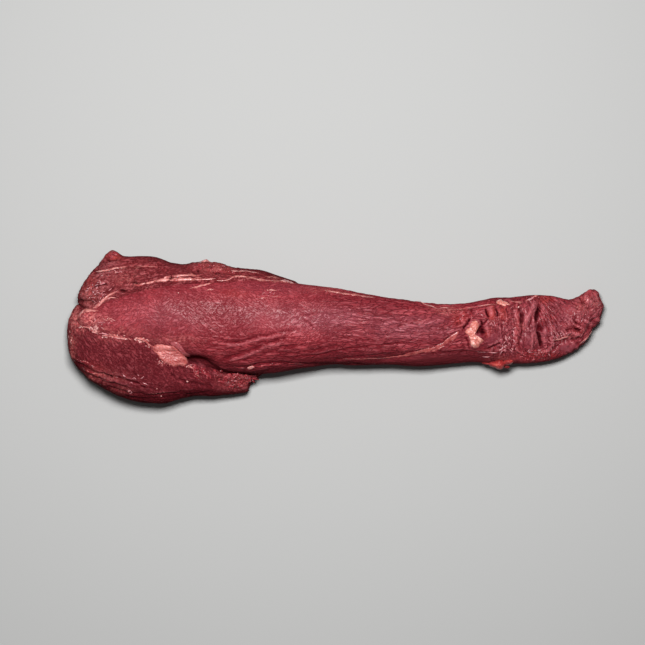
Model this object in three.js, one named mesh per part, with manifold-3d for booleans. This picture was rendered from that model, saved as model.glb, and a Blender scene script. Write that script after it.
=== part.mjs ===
// Whole raw beef tenderloin, trimmed, lying on its flat side: the thick head at -X, the thin tail at +X.
// Millimetres, +Z up. The origin is the middle of the footprint, on the surface that the meat lies on.
// Three muscles grow together at the head. The fillet runs the whole length, the strap lies along its back
// edge and the wing is the round lobe in front. Lumps of fat and a tag of meat are grown on, so the cut is
// one solid.
import * as THREE from "three";
import { mergeVertices } from "three/addons/utils/BufferGeometryUtils.js";
import Module from "manifold-3d";

// Cross-sections of a muscle, from the head to the tail:
// [place along X, back edge in Y, front edge in Y, height of the crown above the board]
const FILLET = {
  stations: [
    [-257, 17, -6, 42],
    [-244, 21, -11, 46],
    [-229, 28, -15, 50],
    [-209, 36, -19, 54],
    [-184, 43, -25, 58],
    [-159, 47, -32, 61],
    [-134, 48, -38, 63],
    [-109, 49.5, -44, 63],
    [-84, 50.5, -46, 63],
    [-59, 48.5, -45.5, 61],
    [-34, 43, -41.5, 59],
    [-4, 40, -37.5, 56],
    [26, 35, -38, 53],
    [56, 29, -37.5, 50],
    [86, 25, -39.5, 47],
    [111, 23, -37.5, 44],
    [136, 25, -34.5, 42],
    [156, 29, -36, 41],
    [174, 30, -36.5, 39.5],
    [196, 32, -36, 38],
    [216, 31.5, -34, 35],
    [236, 27.5, -27, 31],
    [246, 30.5, -21, 29],
    [254, 35.5, -13, 27],
    [262, 37.5, 1, 24],
    [269, 33, 9, 20],
  ],
  headEnd: 12, // length over which the blunt end rounds off
  tailEnd: 7,
  widest: 0.43, // level of the widest girth, as a share of the height
  domed: 2.3, // fullness of the upper half: 2 is an ellipse
  seated: 3, // fullness of the lower half, which has settled on the board
  lean: 0.1, // how far the crown stands towards the back edge, as a share of the half width
  rowStep: 7,
  around: 32,
};

const WING = {
  stations: [
    [-268, 22, -38, 36],
    [-256, 20, -42, 42],
    [-244, 18, -53, 46],
    [-224, 14, -65, 49],
    [-204, 8, -73, 50],
    [-184, 2, -76, 49],
    [-169, -3, -76, 47],
    [-154, -8, -71.5, 44],
    [-139, -13, -68.5, 40],
    [-119, -20, -69, 35],
    [-99, -26, -66.5, 30],
    [-88, -30, -64, 25],
    [-82, -33, -56, 21],
    [-76, -37, -51, 18],
    [-70, -40, -49, 15],
  ],
  headEnd: 14,
  tailEnd: 4,
  widest: 0.4,
  domed: 3,
  seated: 3,
  lean: 0.05,
  rowStep: 5.4,
  around: 26,
};

const STRAP = {
  stations: [
    [-258, 33, 17, 30],
    [-252, 42, 14, 37],
    [-244, 54, 12, 42],
    [-235, 64, 14, 45],
    [-228, 71, 16, 46],
    [-208, 71, 22, 49],
    [-180, 70.5, 28, 51],
    [-164, 65, 31, 51],
    [-150, 63, 33, 51],
    [-130, 64, 34, 51],
    [-112, 62.5, 35, 50],
    [-98, 59.5, 36, 49],
    [-72, 57, 37, 46],
    [-58, 52.5, 36, 42],
    [-34, 44, 34, 34],
  ],
  headEnd: 5,
  tailEnd: 6,
  widest: 0.4,
  domed: 2.3,
  seated: 3,
  lean: -0.3,
  rowStep: 6.5,
  around: 20,
};

// Creases and ridges over the top of a muscle: the line that one follows, its half width and its rise,
// which is below zero in a crease.
FILLET.relief = [
  { name: "tail cleft", line: [[203, 20], [200.5, 5], [200.5, -5], [206, -20]], half: 3.4, rise: -10 },
  { name: "fold right of the cleft", line: [[209, 24], [213, 2], [215, -20]], half: 5, rise: 3 },
  { name: "fold left of the cleft", line: [[194, 20], [194, -18]], half: 4.5, rise: 2.5 },
  { name: "second hollow", line: [[187, 16], [186, -14]], half: 4, rise: -3 },
  { name: "fold over the tail", line: [[178, 20], [182, 0], [181, -22]], half: 4, rise: 1.8 },
  { name: "pocket above the fat", line: [[127, 16], [131, 6]], half: 5, rise: -4 },
  { name: "pocket behind the fat", line: [[146, 8], [145, -8]], half: 4, rise: -4.5 },
  { name: "tendon bed", line: [[66, -33], [92, -27], [112, -19], [120, -12]], half: 4, rise: -2 },
  { name: "edge of the side wall", line: [[96, -25], [130, -25], [160, -24]], half: 4, rise: -1.8 },
  { name: "back edge of the tail", line: [[96, 20], [120, 19], [150, 22]], half: 4, rise: -1.6 },
  { name: "valley in the tip", line: [[218, -8], [240, -11], [256, 0]], half: 6, rise: -2.5 },
  { name: "fibre fold", line: [[-84, -28], [-50, -19], [-14, -11]], half: 5, rise: -1.6 },
  { name: "lower fibre fold", line: [[-64, -34], [-20, -24], [40, -17]], half: 5, rise: -1.4 },
  { name: "slack in the belly", line: [[-34, 12], [10, 5], [60, 2]], half: 14, rise: -1.2 },
];
WING.relief = [
  { name: "rim of the face", line: [[-259, -31], [-240, -43], [-190, -62]], half: 4, rise: -3 },
  { name: "layer below the rim", line: [[-204, -62], [-180, -67], [-150, -64]], half: 3.5, rise: -2.5 },
  { name: "step to the tip", line: [[-160, -50], [-138, -56], [-120, -58]], half: 5, rise: -2 },
  { name: "rise to the fillet", line: [[-235, -14], [-200, -19], [-178, -24]], half: 8, rise: 1.5 },
  { name: "hollow under the fillet", line: [[-146, -31], [-125, -40], [-95, -45]], half: 6, rise: -7 },
];
STRAP.relief = [
  { name: "sinew ledge", line: [[-238, 56], [-215, 59], [-175, 60]], half: 4, rise: -1.5 },
  { name: "slit", line: [[-214, 36], [-207, 36]], half: 3, rise: -3 },
  { name: "step at the shoulder", line: [[-170, 58], [-150, 53], [-130, 50]], half: 5, rise: -2.5 },
];

// Lumps grown on the muscles: centre, half lengths and turn about Z in degrees.
const LUMPS = [
  { name: "fat in the seam", at: [-163, -28, 46], half: [21, 9, 6.5], turn: -27 },
  { name: "fat in the seam, front lobe", at: [-153, -33, 42], half: [11, 7, 6.5], turn: -24 },
  { name: "tail fat, upper lobe", at: [140, 0, 38], half: [6, 8, 5], turn: -25 },
  { name: "tail fat, waist", at: [136.5, -8, 37.5], half: [6, 8, 5], turn: 25 },
  { name: "tail fat, lower lobe", at: [141, -15, 36], half: [8.5, 7, 5], turn: 15 },
  { name: "back edge fat", at: [168, 23, 30], half: [9, 6, 5], turn: -12 },
  { name: "tag of meat", at: [166, -32, 12], half: [13, 9, 9], turn: 3 },
  { name: "tip of the tag", at: [173, -34.5, 11], half: [7, 7, 8], turn: 0 },
  { name: "corner of the strap", at: [-222, 63.5, 29], half: [13, 12.5, 15], turn: 20 },
  { name: "knob on the strap", at: [-122, 57.5, 33], half: [17, 9, 14], turn: -13 },
  { name: "rag end of the wing", at: [-92, -58, 14], half: [8, 6, 8], turn: 20 },
];
const LUMP_AROUND = 12;
const LUMP_ROWS = 7;

const SEAT_DEPTH = 1.1; // share of its depth that the lower half would reach if the board did not flatten it
const TAIL_STARTS = 118; // past here the folds are close, so the rows are too
const TAIL_ROW_STEP = 4.2;
const END_ROWS = 4; // rows in a rounded end
const SWELL = 0.9; // height of the slow unevenness of the upper surface
const SWELL_LONG = 17; // lengths along X over which its two waves turn by one radian
const SWELL_SHORT = 9;
const WELD = 1e-3; // points closer than this are one point

const MEAT_RED = 0x8a3238;

// The station's figures at any place along X, on a smooth curve through the stations.
function sectionAt(stations, x) {
  const last = stations.length - 1;
  let i = 0;
  while (i < last - 1 && x > stations[i + 1][0]) i += 1;
  const slope = (k, n) => {
    const before = stations[Math.max(k - 1, 0)];
    const after = stations[Math.min(k + 1, last)];
    return (after[n] - before[n]) / (after[0] - before[0]);
  };
  const [from, to] = [stations[i], stations[i + 1]];
  const span = to[0] - from[0];
  const t = THREE.MathUtils.clamp((x - from[0]) / span, 0, 1);
  const [back, front, height] = [1, 2, 3].map((n) => {
    const startPull = slope(i, n) * span;
    const endPull = slope(i + 1, n) * span;
    return (
      from[n] * (1 + 2 * t) * (1 - t) ** 2 +
      startPull * t * (1 - t) ** 2 +
      to[n] * t * t * (3 - 2 * t) -
      endPull * t * t * (1 - t)
    );
  });
  return { back, front, height };
}

// Distance in plan from a point to a line of straight stretches.
function distanceInPlan(x, y, line) {
  const point = new THREE.Vector2(x, y);
  let least = Infinity;
  for (let i = 0; i < line.length - 1; i += 1) {
    const start = new THREE.Vector2(...line[i]);
    const along = new THREE.Vector2(...line[i + 1]).sub(start);
    const share = THREE.MathUtils.clamp(point.clone().sub(start).dot(along) / along.lengthSq(), 0, 1);
    least = Math.min(least, point.distanceTo(start.addScaledVector(along, share)));
  }
  return least;
}

const reliefAt = (x, y, relief) =>
  relief.reduce((sum, r) => sum + r.rise * Math.exp(-((distanceInPlan(x, y, r.line) / r.half) ** 2)), 0);

const swellAt = (x, turn) =>
  SWELL * (Math.sin(x / SWELL_LONG + 2 * turn) + 0.8 * Math.sin(x / SWELL_SHORT - 3 * turn));

// How far an end that rounds off over `length` has opened at `distance` from its pole, from 0 to 1.
const opening = (distance, length) => Math.sqrt(Math.max(0, 1 - (1 - Math.min(distance / length, 1)) ** 2));

// Places of the rows along X: close in the rounded ends and in the folded tail, and even between.
function rowPlaces(muscle) {
  const first = muscle.stations[0][0];
  const last = muscle.stations.at(-1)[0];
  const quarter = (k) => 1 - Math.cos((k / END_ROWS) * (Math.PI / 2));
  const places = [];
  for (let k = 1; k <= END_ROWS; k += 1) places.push(first + muscle.headEnd * quarter(k));
  const fill = (end, step) => {
    const start = places.at(-1);
    const count = Math.max(1, Math.round((end - start) / step));
    for (let k = 1; k <= count; k += 1) places.push(start + ((end - start) * k) / count);
  };
  const lastFull = last - muscle.tailEnd;
  if (lastFull > TAIL_STARTS) fill(TAIL_STARTS, muscle.rowStep);
  fill(lastFull, lastFull > TAIL_STARTS ? TAIL_ROW_STEP : muscle.rowStep);
  for (let k = END_ROWS - 1; k >= 1; k -= 1) places.push(last - muscle.tailEnd * quarter(k));
  return places;
}

// A point of the muscle's skin: `turn` goes round the section, from the back edge over the crown.
function skinPoint(muscle, x, turn) {
  const { back, front, height } = sectionAt(muscle.stations, x);
  const first = muscle.stations[0][0];
  const last = muscle.stations.at(-1)[0];
  const open = Math.min(opening(x - first, muscle.headEnd), opening(last - x, muscle.tailEnd));
  const across = Math.cos(turn);
  const up = Math.sin(turn);
  const power = 2 / (up > 0 ? muscle.domed : muscle.seated);
  const lift = open * Math.abs(up) ** power;
  const lean = muscle.lean * Math.max(up, 0) ** 2;
  const half = (open * (back - front)) / 2;
  const y = (back + front) / 2 + half * (Math.sign(across) * Math.abs(across) ** power + lean);
  const level = muscle.widest * height;
  if (up <= 0) return new THREE.Vector3(x, y, Math.max(0, level * (1 - SEAT_DEPTH * lift)));
  const uneven = lift * (reliefAt(x, y, muscle.relief) + swellAt(x, turn));
  return new THREE.Vector3(x, y, level + (height - level) * lift + uneven);
}

// The closed skin of a muscle: rings of points from one pole to the other.
function muscleGeometry(muscle) {
  const points = [];
  const faces = [];
  const pole = (x) => {
    const { back, front, height } = sectionAt(muscle.stations, x);
    return new THREE.Vector3(x, (back + front) / 2, muscle.widest * height);
  };
  points.push(pole(muscle.stations[0][0]));
  const places = rowPlaces(muscle);
  const n = muscle.around;
  for (const x of places) {
    for (let k = 0; k < n; k += 1) points.push(skinPoint(muscle, x, (2 * Math.PI * k) / n));
  }
  points.push(pole(muscle.stations.at(-1)[0]));
  const ring = (row, k) => 1 + row * n + (k % n);
  for (let k = 0; k < n; k += 1) {
    faces.push(0, ring(0, k + 1), ring(0, k));
    faces.push(points.length - 1, ring(places.length - 1, k), ring(places.length - 1, k + 1));
    for (let row = 0; row < places.length - 1; row += 1) {
      faces.push(ring(row, k), ring(row, k + 1), ring(row + 1, k + 1));
      faces.push(ring(row, k), ring(row + 1, k + 1), ring(row + 1, k));
    }
  }
  return new THREE.BufferGeometry().setFromPoints(points).setIndex(faces);
}

function lumpGeometry({ at, half, turn }) {
  return new THREE.SphereGeometry(1, LUMP_AROUND, LUMP_ROWS)
    .scale(...half)
    .rotateZ(THREE.MathUtils.degToRad(turn))
    .translate(...at);
}

// Joining

const wasm = await Module();
wasm.setup();

function solidOf(geometry) {
  const bare = geometry.clone().deleteAttribute("normal").deleteAttribute("uv");
  const merged = mergeVertices(bare, WELD);
  return new wasm.Manifold(
    new wasm.Mesh({
      numProp: 3,
      vertProperties: new Float32Array(merged.attributes.position.array),
      triVerts: new Uint32Array(merged.index.array),
    }),
  );
}

function geometryOf(solid) {
  const { vertProperties, triVerts } = solid.getMesh();
  return new THREE.BufferGeometry()
    .setAttribute("position", new THREE.BufferAttribute(vertProperties, 3))
    .setIndex(new THREE.BufferAttribute(triVerts, 1));
}

const grown = [FILLET, WING, STRAP]
  .map(muscleGeometry)
  .concat(LUMPS.map(lumpGeometry))
  .map(solidOf)
  .reduce((whole, piece) => whole.add(piece));

const skin = geometryOf(grown);
skin.computeBoundingBox();
const footprint = skin.boundingBox.getCenter(new THREE.Vector3());
skin.translate(-footprint.x, -footprint.y, -skin.boundingBox.min.z);
skin.computeVertexNormals();

const meat = new THREE.MeshStandardMaterial({ color: MEAT_RED, roughness: 0.42, metalness: 0 });
const tenderloin = new THREE.Mesh(skin, meat);
tenderloin.name = "tenderloin";

const cut = new THREE.Group();
cut.add(tenderloin);

export default cut;
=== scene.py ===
"""A whole raw beef tenderloin, trimmed, lying on its flat side: three muscles grown together, with fat and
sinew in their seams. Shapes are worked out in millimetres and put into the meshes in metres."""

import bpy
import numpy as np
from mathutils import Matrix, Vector


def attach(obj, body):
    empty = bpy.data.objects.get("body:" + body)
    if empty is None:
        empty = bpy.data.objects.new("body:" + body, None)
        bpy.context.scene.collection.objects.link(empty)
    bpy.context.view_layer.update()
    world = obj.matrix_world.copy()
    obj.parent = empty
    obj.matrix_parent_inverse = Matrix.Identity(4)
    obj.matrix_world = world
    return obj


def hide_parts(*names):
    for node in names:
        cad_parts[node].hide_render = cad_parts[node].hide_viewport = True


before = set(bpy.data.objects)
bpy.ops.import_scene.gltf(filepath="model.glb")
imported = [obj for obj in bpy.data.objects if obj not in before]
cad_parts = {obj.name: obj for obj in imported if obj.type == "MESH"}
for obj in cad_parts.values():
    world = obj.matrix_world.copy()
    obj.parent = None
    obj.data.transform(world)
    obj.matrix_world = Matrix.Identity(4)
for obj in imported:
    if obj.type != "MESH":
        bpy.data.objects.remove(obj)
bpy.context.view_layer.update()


# The fillet is the long round muscle of the cut. It starts as a blunt point between the other two, is
# thickest a third of the way along, and thins to a folded, torn tail. It is lean meat, cut off the bone, and
# has settled flat on its side along its whole length.
FILLET = {
    # place along X, back edge in Y, front edge in Y, height of the crown
    "stations": [
        (-257, 17, -6, 42), (-244, 21, -11, 46), (-229, 29, -15, 50), (-209, 38, -19, 54),
        (-184, 46, -25, 58), (-159, 49, -32, 61), (-134, 49.5, -38, 63), (-109, 50.5, -44, 63),
        (-84, 51, -46, 63), (-59, 48.5, -45.5, 61), (-34, 43, -41.5, 59), (-4, 40, -37.5, 56),
        (26, 35, -38, 53), (56, 29, -37.5, 50), (86, 25, -39.5, 47), (111, 23, -37.5, 44),
        (136, 25, -34.5, 42), (156, 29, -36, 41), (174, 30, -36.5, 39.5), (196, 32, -36, 38),
        (216, 31.5, -34, 35), (236, 27.5, -27, 31), (246, 30.5, -21, 29), (254, 35.5, -13, 27),
        (262, 37.5, 1, 24), (269, 33, 9, 20),
    ],
    "ends": (12, 4.5),  # lengths over which the head end and the tail end round off
    "widest": 0.43,  # level of the widest girth, as a share of the height
    "domed": 2.3,  # fullness of the upper half: 2 is an ellipse
    "seated": 3.0,  # fullness of the lower half, which has settled under its own weight
    "lean": 0.1,  # how far the crown stands towards the back edge, as a share of the half width
    "steps": [(112, 1.24), (270, 0.88)],  # (up to this place, spacing of the rows)
    "round": (146, 44),  # points over the top and underneath
}
SEAT_DEPTH = 1.1  # share of its depth that the underside would reach if the floor did not flatten it
FLOOR_GAP = 0.05  # how far the underside stays above the floor
FOOTPRINT_CENTRE = np.array([0.5, -0.3, 0.0])  # middle of the whole cut, which the meshes have at zero
MM = 0.001


def cubic(t, start, end, slope_in, slope_out):
    """The cubic from start to end with given slopes at both, for t from 0 to 1: the ends weighted by
    (1 + 2t)(1 - t)^2 and t^2(3 - 2t), and the slopes by t(1 - t)^2 and -t^2(1 - t)."""
    begun = start * (1 + 2 * t) * (1 - t) ** 2 + slope_in * t * (1 - t) ** 2
    return begun + end * t * t * (3 - 2 * t) - slope_out * t * t * (1 - t)


def section_at(stations, x):
    """Back edge, front edge and crown height at each place x: cubics through the stations, whose slope at a
    station is that from the station before it to the one after it."""
    s = np.array(stations, float)
    last = len(s) - 1
    k = np.arange(last + 1)
    before, after = np.maximum(k - 1, 0), np.minimum(k + 1, last)
    slope = (s[after, 1:] - s[before, 1:]) / (s[after, :1] - s[before, :1])
    i = np.clip(np.searchsorted(s[:, 0], x, side="right") - 1, 0, last - 1)
    span = (s[i + 1, 0] - s[i, 0])[:, None]
    t = np.clip((x - s[i, 0])[:, None] / span, 0, 1)
    return cubic(t, s[i, 1:], s[i + 1, 1:], slope[i] * span, slope[i + 1] * span)


def row_places(muscle, end_rows=14):
    """Places of the rings along X: crowded by a quarter cosine in the rounded ends, evenly spaced between."""
    first, last = muscle["stations"][0][0], muscle["stations"][-1][0]
    head, tail = muscle["ends"]
    quarter = 1 - np.cos(np.arange(1, end_rows + 1) / end_rows * np.pi / 2)
    places = [first + head * quarter]
    for until, step in muscle["steps"]:
        start, end = places[-1][-1], min(until, last - tail)
        places.append(np.linspace(start, end, max(2, int((end - start) / step)))[1:])
    places.append(last - tail * quarter[-2::-1])
    return np.concatenate(places)


def turns_round(muscle):
    """Turns of a section, from the middle of the underside by the back edge, the crown and the front edge:
    even steps of arc length over the top, and longer even ones underneath."""
    _, back, front, height = np.array(muscle["stations"]).mean(axis=0)
    half, level = (back - front) / 2, muscle["widest"] * height
    turns = []
    for begin, fullness, depth, count in (
        (0, muscle["domed"], height - level, muscle["round"][0]),
        (np.pi, muscle["seated"], level, muscle["round"][1]),
    ):
        t = np.linspace(begin, begin + np.pi, 20001)  # fine steps, to measure the arc by
        y = half * np.sign(np.cos(t)) * np.abs(np.cos(t)) ** (2 / fullness)
        z = depth * np.abs(np.sin(t)) ** (2 / fullness)
        length = np.concatenate([[0], np.cumsum(np.hypot(np.diff(y), np.diff(z)))])
        turns.append(np.interp(np.linspace(0, length[-1], count + 1)[:-1], length, t))
    over, under = turns
    split = np.searchsorted(under, 1.5 * np.pi)
    return np.concatenate([under[split:] - 2 * np.pi, over, under[:split]])


def bare_skin(muscle, x, turn):
    """The smooth skin, rings by turns. A section is two half superellipses on the level of the widest girth.
    The lower one is cut off at the floor, and both shrink as an ellipse does in a rounded end."""
    back, front, height = (c[:, None] for c in section_at(muscle["stations"], x).T)
    first, last = muscle["stations"][0][0], muscle["stations"][-1][0]
    head, tail = muscle["ends"]
    from_end = np.minimum((x - first) / head, (last - x) / tail)
    opened = np.sqrt(np.clip(1 - (1 - np.clip(from_end, 0, 1)) ** 2, 0, 1))[:, None]
    across, up = np.cos(turn), np.sin(turn)
    power = np.where(up > 0, 2 / muscle["domed"], 2 / muscle["seated"])
    lift = opened * np.abs(up) ** power
    lean = muscle["lean"] * np.maximum(up, 0) ** 2
    half = opened * (back - front) / 2
    y = (back + front) / 2 + half * (np.sign(across) * np.abs(across) ** power + lean)
    level = muscle["widest"] * height
    top = level + (height - level) * lift
    z = np.where(up > 0, top, np.maximum(0, level * (1 - SEAT_DEPTH * lift)))
    return np.stack([np.broadcast_to(x[:, None], y.shape), y, z], axis=-1)


def outward(skin):
    """Unit normals of a skin of rings: the turn's direction crossed with the direction along the rings."""
    round_ = np.roll(skin, -1, axis=1) - np.roll(skin, 1, axis=1)
    normal = np.cross(round_, np.gradient(skin, axis=0))
    return normal / np.maximum(np.linalg.norm(normal, axis=-1, keepdims=True), 1e-9)


def soft_step(value, low, high):
    """0 up to low, 1 from high, and the curve 3t^2 - 2t^3 between."""
    t = np.clip((value - low) / (high - low), 0, 1)
    return t * t * (3 - 2 * t)


def scrambled(cell, seed):
    """A fixed random whole number for each cell of a lattice: its three places multiplied by large primes,
    joined with the seed, and mixed twice by shifting and multiplying."""
    low = 0xFFFFFFFF
    code = (cell[..., 0] * 73856093) ^ (cell[..., 1] * 19349663) ^ (cell[..., 2] * 83492791)
    code = (code ^ (seed * 374761393)) & low
    code = ((code ^ (code >> 15)) * 2246822519) & low
    code = ((code ^ (code >> 13)) * 3266489917) & low
    return code ^ (code >> 16)


def grain(x, y, z, seed):
    """Smooth noise from about -1 to 1: the eight corners round a point each have a fixed random slope, and
    they are blended by 6t^5 - 15t^4 + 10t^3."""
    p = np.stack(np.broadcast_arrays(x, y, z), axis=-1).astype(float)
    cell = np.floor(p).astype(np.int64)
    part = p - cell
    fade = part**3 * (part * (part * 6 - 15) + 10)
    total = np.zeros(p.shape[:-1])
    for corner in np.ndindex(2, 2, 2):
        code = scrambled(cell + corner, seed)
        angle = (code & 1023) * (2 * np.pi / 1024)
        rise = ((code >> 10) & 1023) / 511.5 - 1
        away = part - corner
        flat = np.sqrt(1 - np.clip(rise * rise, 0, 1))
        slope = flat * (np.cos(angle) * away[..., 0] + np.sin(angle) * away[..., 1]) + rise * away[..., 2]
        total += slope * np.prod(np.where(corner, fade, 1 - fade), axis=-1)
    return 1.7 * total


def creased(a, b, c, seed):
    """Round bundles with sharp valleys between them, from about -0.5 to 1: the size of smooth noise."""
    return 1.8 * np.abs(grain(a, b, c, seed)) - 0.5


def pebbles(x, y, z, seed):
    """Distance to the nearest of the points thrown at random one into each cell, from 0 to about 1."""
    p = np.stack(np.broadcast_arrays(x, y, z), axis=-1).astype(float)
    cell = np.floor(p).astype(np.int64)
    nearest = np.full(p.shape[:-1], 9.0)
    for step in np.ndindex(3, 3, 3):
        at = cell + np.array(step) - 1
        code = scrambled(at, seed)
        spot = at + np.stack([(code >> shift & 1023) / 1024 for shift in (0, 10, 20)], axis=-1)
        nearest = np.minimum(nearest, ((p - spot) ** 2).sum(axis=-1))
    return np.sqrt(nearest)


def smooth_line(points, step=2.5):
    """A curve through chosen points in plan, with the slope at each that of its two neighbours."""
    p = np.array(points, float)
    if len(p) == 2:
        return p
    slope = np.gradient(p, axis=0)
    pieces = [p[:1]]
    for i in range(len(p) - 1):
        count = max(1, int(np.linalg.norm(p[i + 1] - p[i]) / step))
        t = (np.arange(1, count + 1) / count)[:, None]
        pieces.append(cubic(t, p[i], p[i + 1], slope[i], slope[i + 1]))
    return np.concatenate(pieces)


def beside(x, y, points, reach):
    """Distance in plan from each place to a smooth line, and how far in from the line's nearer end it lies.
    Places further than reach from it all get the distance reach."""
    line = smooth_line(points)
    along = np.concatenate([[0], np.cumsum(np.linalg.norm(np.diff(line, axis=0), axis=1))])
    distance, inside = np.full(x.shape, float(reach)), np.zeros(x.shape)
    low, high = line.min(axis=0) - reach, line.max(axis=0) + reach
    near = (x > low[0]) & (x < high[0]) & (y > low[1]) & (y < high[1])
    place = np.stack([x[near], y[near]], axis=-1)
    best, at = distance[near], inside[near]
    for start, end, walked in zip(line[:-1], line[1:], along):
        way = end - start
        share = np.clip((place - start) @ way / (way @ way), 0, 1)
        gap = np.linalg.norm(place - start - share[:, None] * way, axis=1)
        at = np.where(gap < best, walked + share * np.linalg.norm(way), at)
        best = np.minimum(best, gap)
    distance[near], inside[near] = best, np.minimum(at, along[-1] - at)
    return distance, inside


def folds(x, y, lines):
    """Creases and ridges: each line's rise times a bell curve of the distance to it, fading at its ends."""
    total = np.zeros(x.shape)
    for _, points, half, rise in lines:
        distance, inside = beside(x, y, points, 3 * half)
        total += rise * np.exp(-((distance / half) ** 2)) * soft_step(inside, -half, 2 * half)
    return total


def threads(x, y, lines, beyond=6.0):
    """How many millimetres each place lies inside the nearest thread, below zero outside: the thread's half
    width, which thins towards its ends, less the distance to its line."""
    depth = np.full(x.shape, -beyond)
    for _, points, half in lines:
        distance, inside = beside(x, y, points, beyond + half)
        depth = np.maximum(depth, half * soft_step(inside, -2, 10) - distance)
    return depth


def patches(x, y, spots):
    """The strongest of several round stains: a bell curve of the distance to each spot's middle in plan."""
    total = np.zeros(x.shape)
    for _, (at_x, at_y), (half_x, half_y), strength in spots:
        away = ((x - at_x) / half_x) ** 2 + ((y - at_y) / half_y) ** 2
        total = np.maximum(total, strength * np.exp(-away))
    return total


def hollowness(relief, reach):
    """How far each point lies below the mean of the rings and turns within reach of it, in millimetres."""
    size = 2 * reach + 1
    padded = np.pad(relief, ((reach, reach), (0, 0)), mode="edge")
    along = sum(padded[i : i + len(relief)] for i in range(size)) / size
    return sum(np.roll(along, j, axis=1) for j in range(-reach, reach + 1)) / size - relief


def closed_mesh(name, skins, maps=None, fields=None):
    """One mesh of closed skins, each an array of rings of points: quads from ring to ring, and a fan from
    each end ring to a pole in its middle. The rings turn so that the faces look outwards. Each of the maps
    gives each point its place along and across the grain, with one more turn than the skin so that the last
    quad of a ring does not run back, and fields gives each point named values. Both are for one skin."""
    points, faces, start = [], [], 0
    for skin in skins:
        rings, turns = skin.shape[:2]
        k = np.arange(turns)
        after = (k + 1) % turns
        row = np.arange(rings - 1)[:, None] * turns
        quads = np.stack([row + k, row + after, row + turns + after, row + turns + k], axis=-1)
        first, last, end = rings * turns, rings * turns + 1, (rings - 1) * turns
        head = np.stack([np.full(turns, first), after, k], axis=-1)
        tail = np.stack([np.full(turns, last), end + k, end + after], axis=-1)
        points += [skin.reshape(-1, 3), skin[[0, -1]].mean(axis=1)]
        faces += (quads.reshape(-1, 4) + start).tolist() + (head + start).tolist() + (tail + start).tolist()
        start += rings * turns + 2
    mesh = bpy.data.meshes.new(name)
    mesh.from_pydata((np.concatenate(points) - FOOTPRINT_CENTRE) * MM, [], faces)
    mesh.shade_smooth()
    for layer, fibres in (maps or {}).items():
        of_quads = np.stack([fibres[:-1, :-1], fibres[:-1, 1:], fibres[1:, 1:], fibres[1:, :-1]], axis=2)
        of_head = np.stack([fibres[0, :-1], fibres[0, 1:], fibres[0, :-1]], axis=1)
        of_tail = np.stack([fibres[-1, :-1], fibres[-1, :-1], fibres[-1, 1:]], axis=1)
        flat = np.concatenate([part.reshape(-1, 2) for part in (of_quads, of_head, of_tail)])
        mesh.uv_layers.new(name=layer).data.foreach_set("uv", flat.ravel())
    for field, values in (fields or {}).items():
        stored = mesh.attributes.new(field, "FLOAT", "POINT")
        stored.data.foreach_set("value", values.astype(np.float32).ravel())
    piece = bpy.data.objects.new(name, mesh)
    bpy.context.scene.collection.objects.link(piece)
    return piece


def muscle_piece(name, muscle, relief_of, grain_turn=0.0):
    """A muscle: its bare skin moved outwards by the relief, which fades out at its foot. relief_of takes the
    skin's x, y and z, the arc length across it and the sine of the turn, and gives the relief and the fields.
    Added to these are how far each point lies below the skin near it (`hollow`) and further round it
    (`sunk`), which the finish turns into painted shade and painted highlights, and how far it faces up:
    `film`, which says how wet it is, and `lit`, which says how far it faces up and towards the light, with
    the painted light and shade that the relief gives added, and which the finish turns into painted shade.
    The first map holds the places along and across, turned by an angle. With a `fan` among the fields the
    second holds them swapped, and led over to the fan's own two by its share."""
    x, turn = row_places(muscle), turns_round(muscle)
    skin = bare_skin(muscle, x, turn)
    steps = np.linalg.norm(np.roll(skin, -1, axis=1) - skin, axis=-1)
    across = np.concatenate([np.zeros((len(x), 1)), np.cumsum(steps, axis=1)], axis=1)
    crown = np.argmin(np.abs(turn - np.pi / 2))
    across -= across[:, crown : crown + 1]
    relief, fields = relief_of(*np.moveaxis(skin, -1, 0), across[:, :-1], np.sin(turn)[None, :])
    relief = relief * soft_step(skin[..., 2], 0.3, 6)
    normal = outward(skin)
    made = skin + normal * relief[..., None]
    made[..., 2] = np.maximum(made[..., 2], FLOOR_GAP)
    along = np.broadcast_to(x[:, None], across.shape)
    tilt = np.array([[np.cos(grain_turn), -np.sin(grain_turn)], [np.sin(grain_turn), np.cos(grain_turn)]])
    maps = {"fibres": np.stack([along, across], axis=-1) @ tilt}
    if "fan" in fields:
        share, spread, aside = (np.concatenate([v, v[:, :1]], axis=1)[..., None] for v in fields.pop("fan"))
        crossed = np.stack([across, along], axis=-1)
        maps["crossed"] = crossed + share * (np.concatenate([spread, aside], axis=-1) - crossed)
    fields["hollow"] = hollowness(relief, 2)
    fields["sunk"] = hollowness(relief, 7)
    backwards, upwards = normal[..., 1], normal[..., 2]
    wet = upwards + np.where(backwards > 0, -0.35, 0.4) * backwards
    fields["film"] = soft_step(wet, 0.2, 0.95) * (1 - 0.85 * soft_step(fields["hollow"], 0.1, 0.7))
    # How far the skin faces up and back towards the light, with the painted light or shade that the relief
    # gives added: the finish paints shade where this is low.
    facing = upwards + np.where(backwards > 0, 0.28, 0.45) * backwards + fields.pop("painted_light_shift")
    fields["lit"] = soft_step(facing, 0.1, 1.0)
    fields = {key: np.append(value, value[[0, -1]].mean(axis=1)) for key, value in fields.items()}
    return closed_mesh(name, [made], maps, fields), made


def swellings(x, y, lumps):
    """Rounded swellings: each one's rise times a bell curve of the distance to its middle in plan."""
    total = np.zeros(x.shape)
    for _, (at_x, at_y), (half_x, half_y), rise in lumps:
        total += rise * np.exp(-(((x - at_x) / half_x) ** 2) - ((y - at_y) / half_y) ** 2)
    return total


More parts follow.
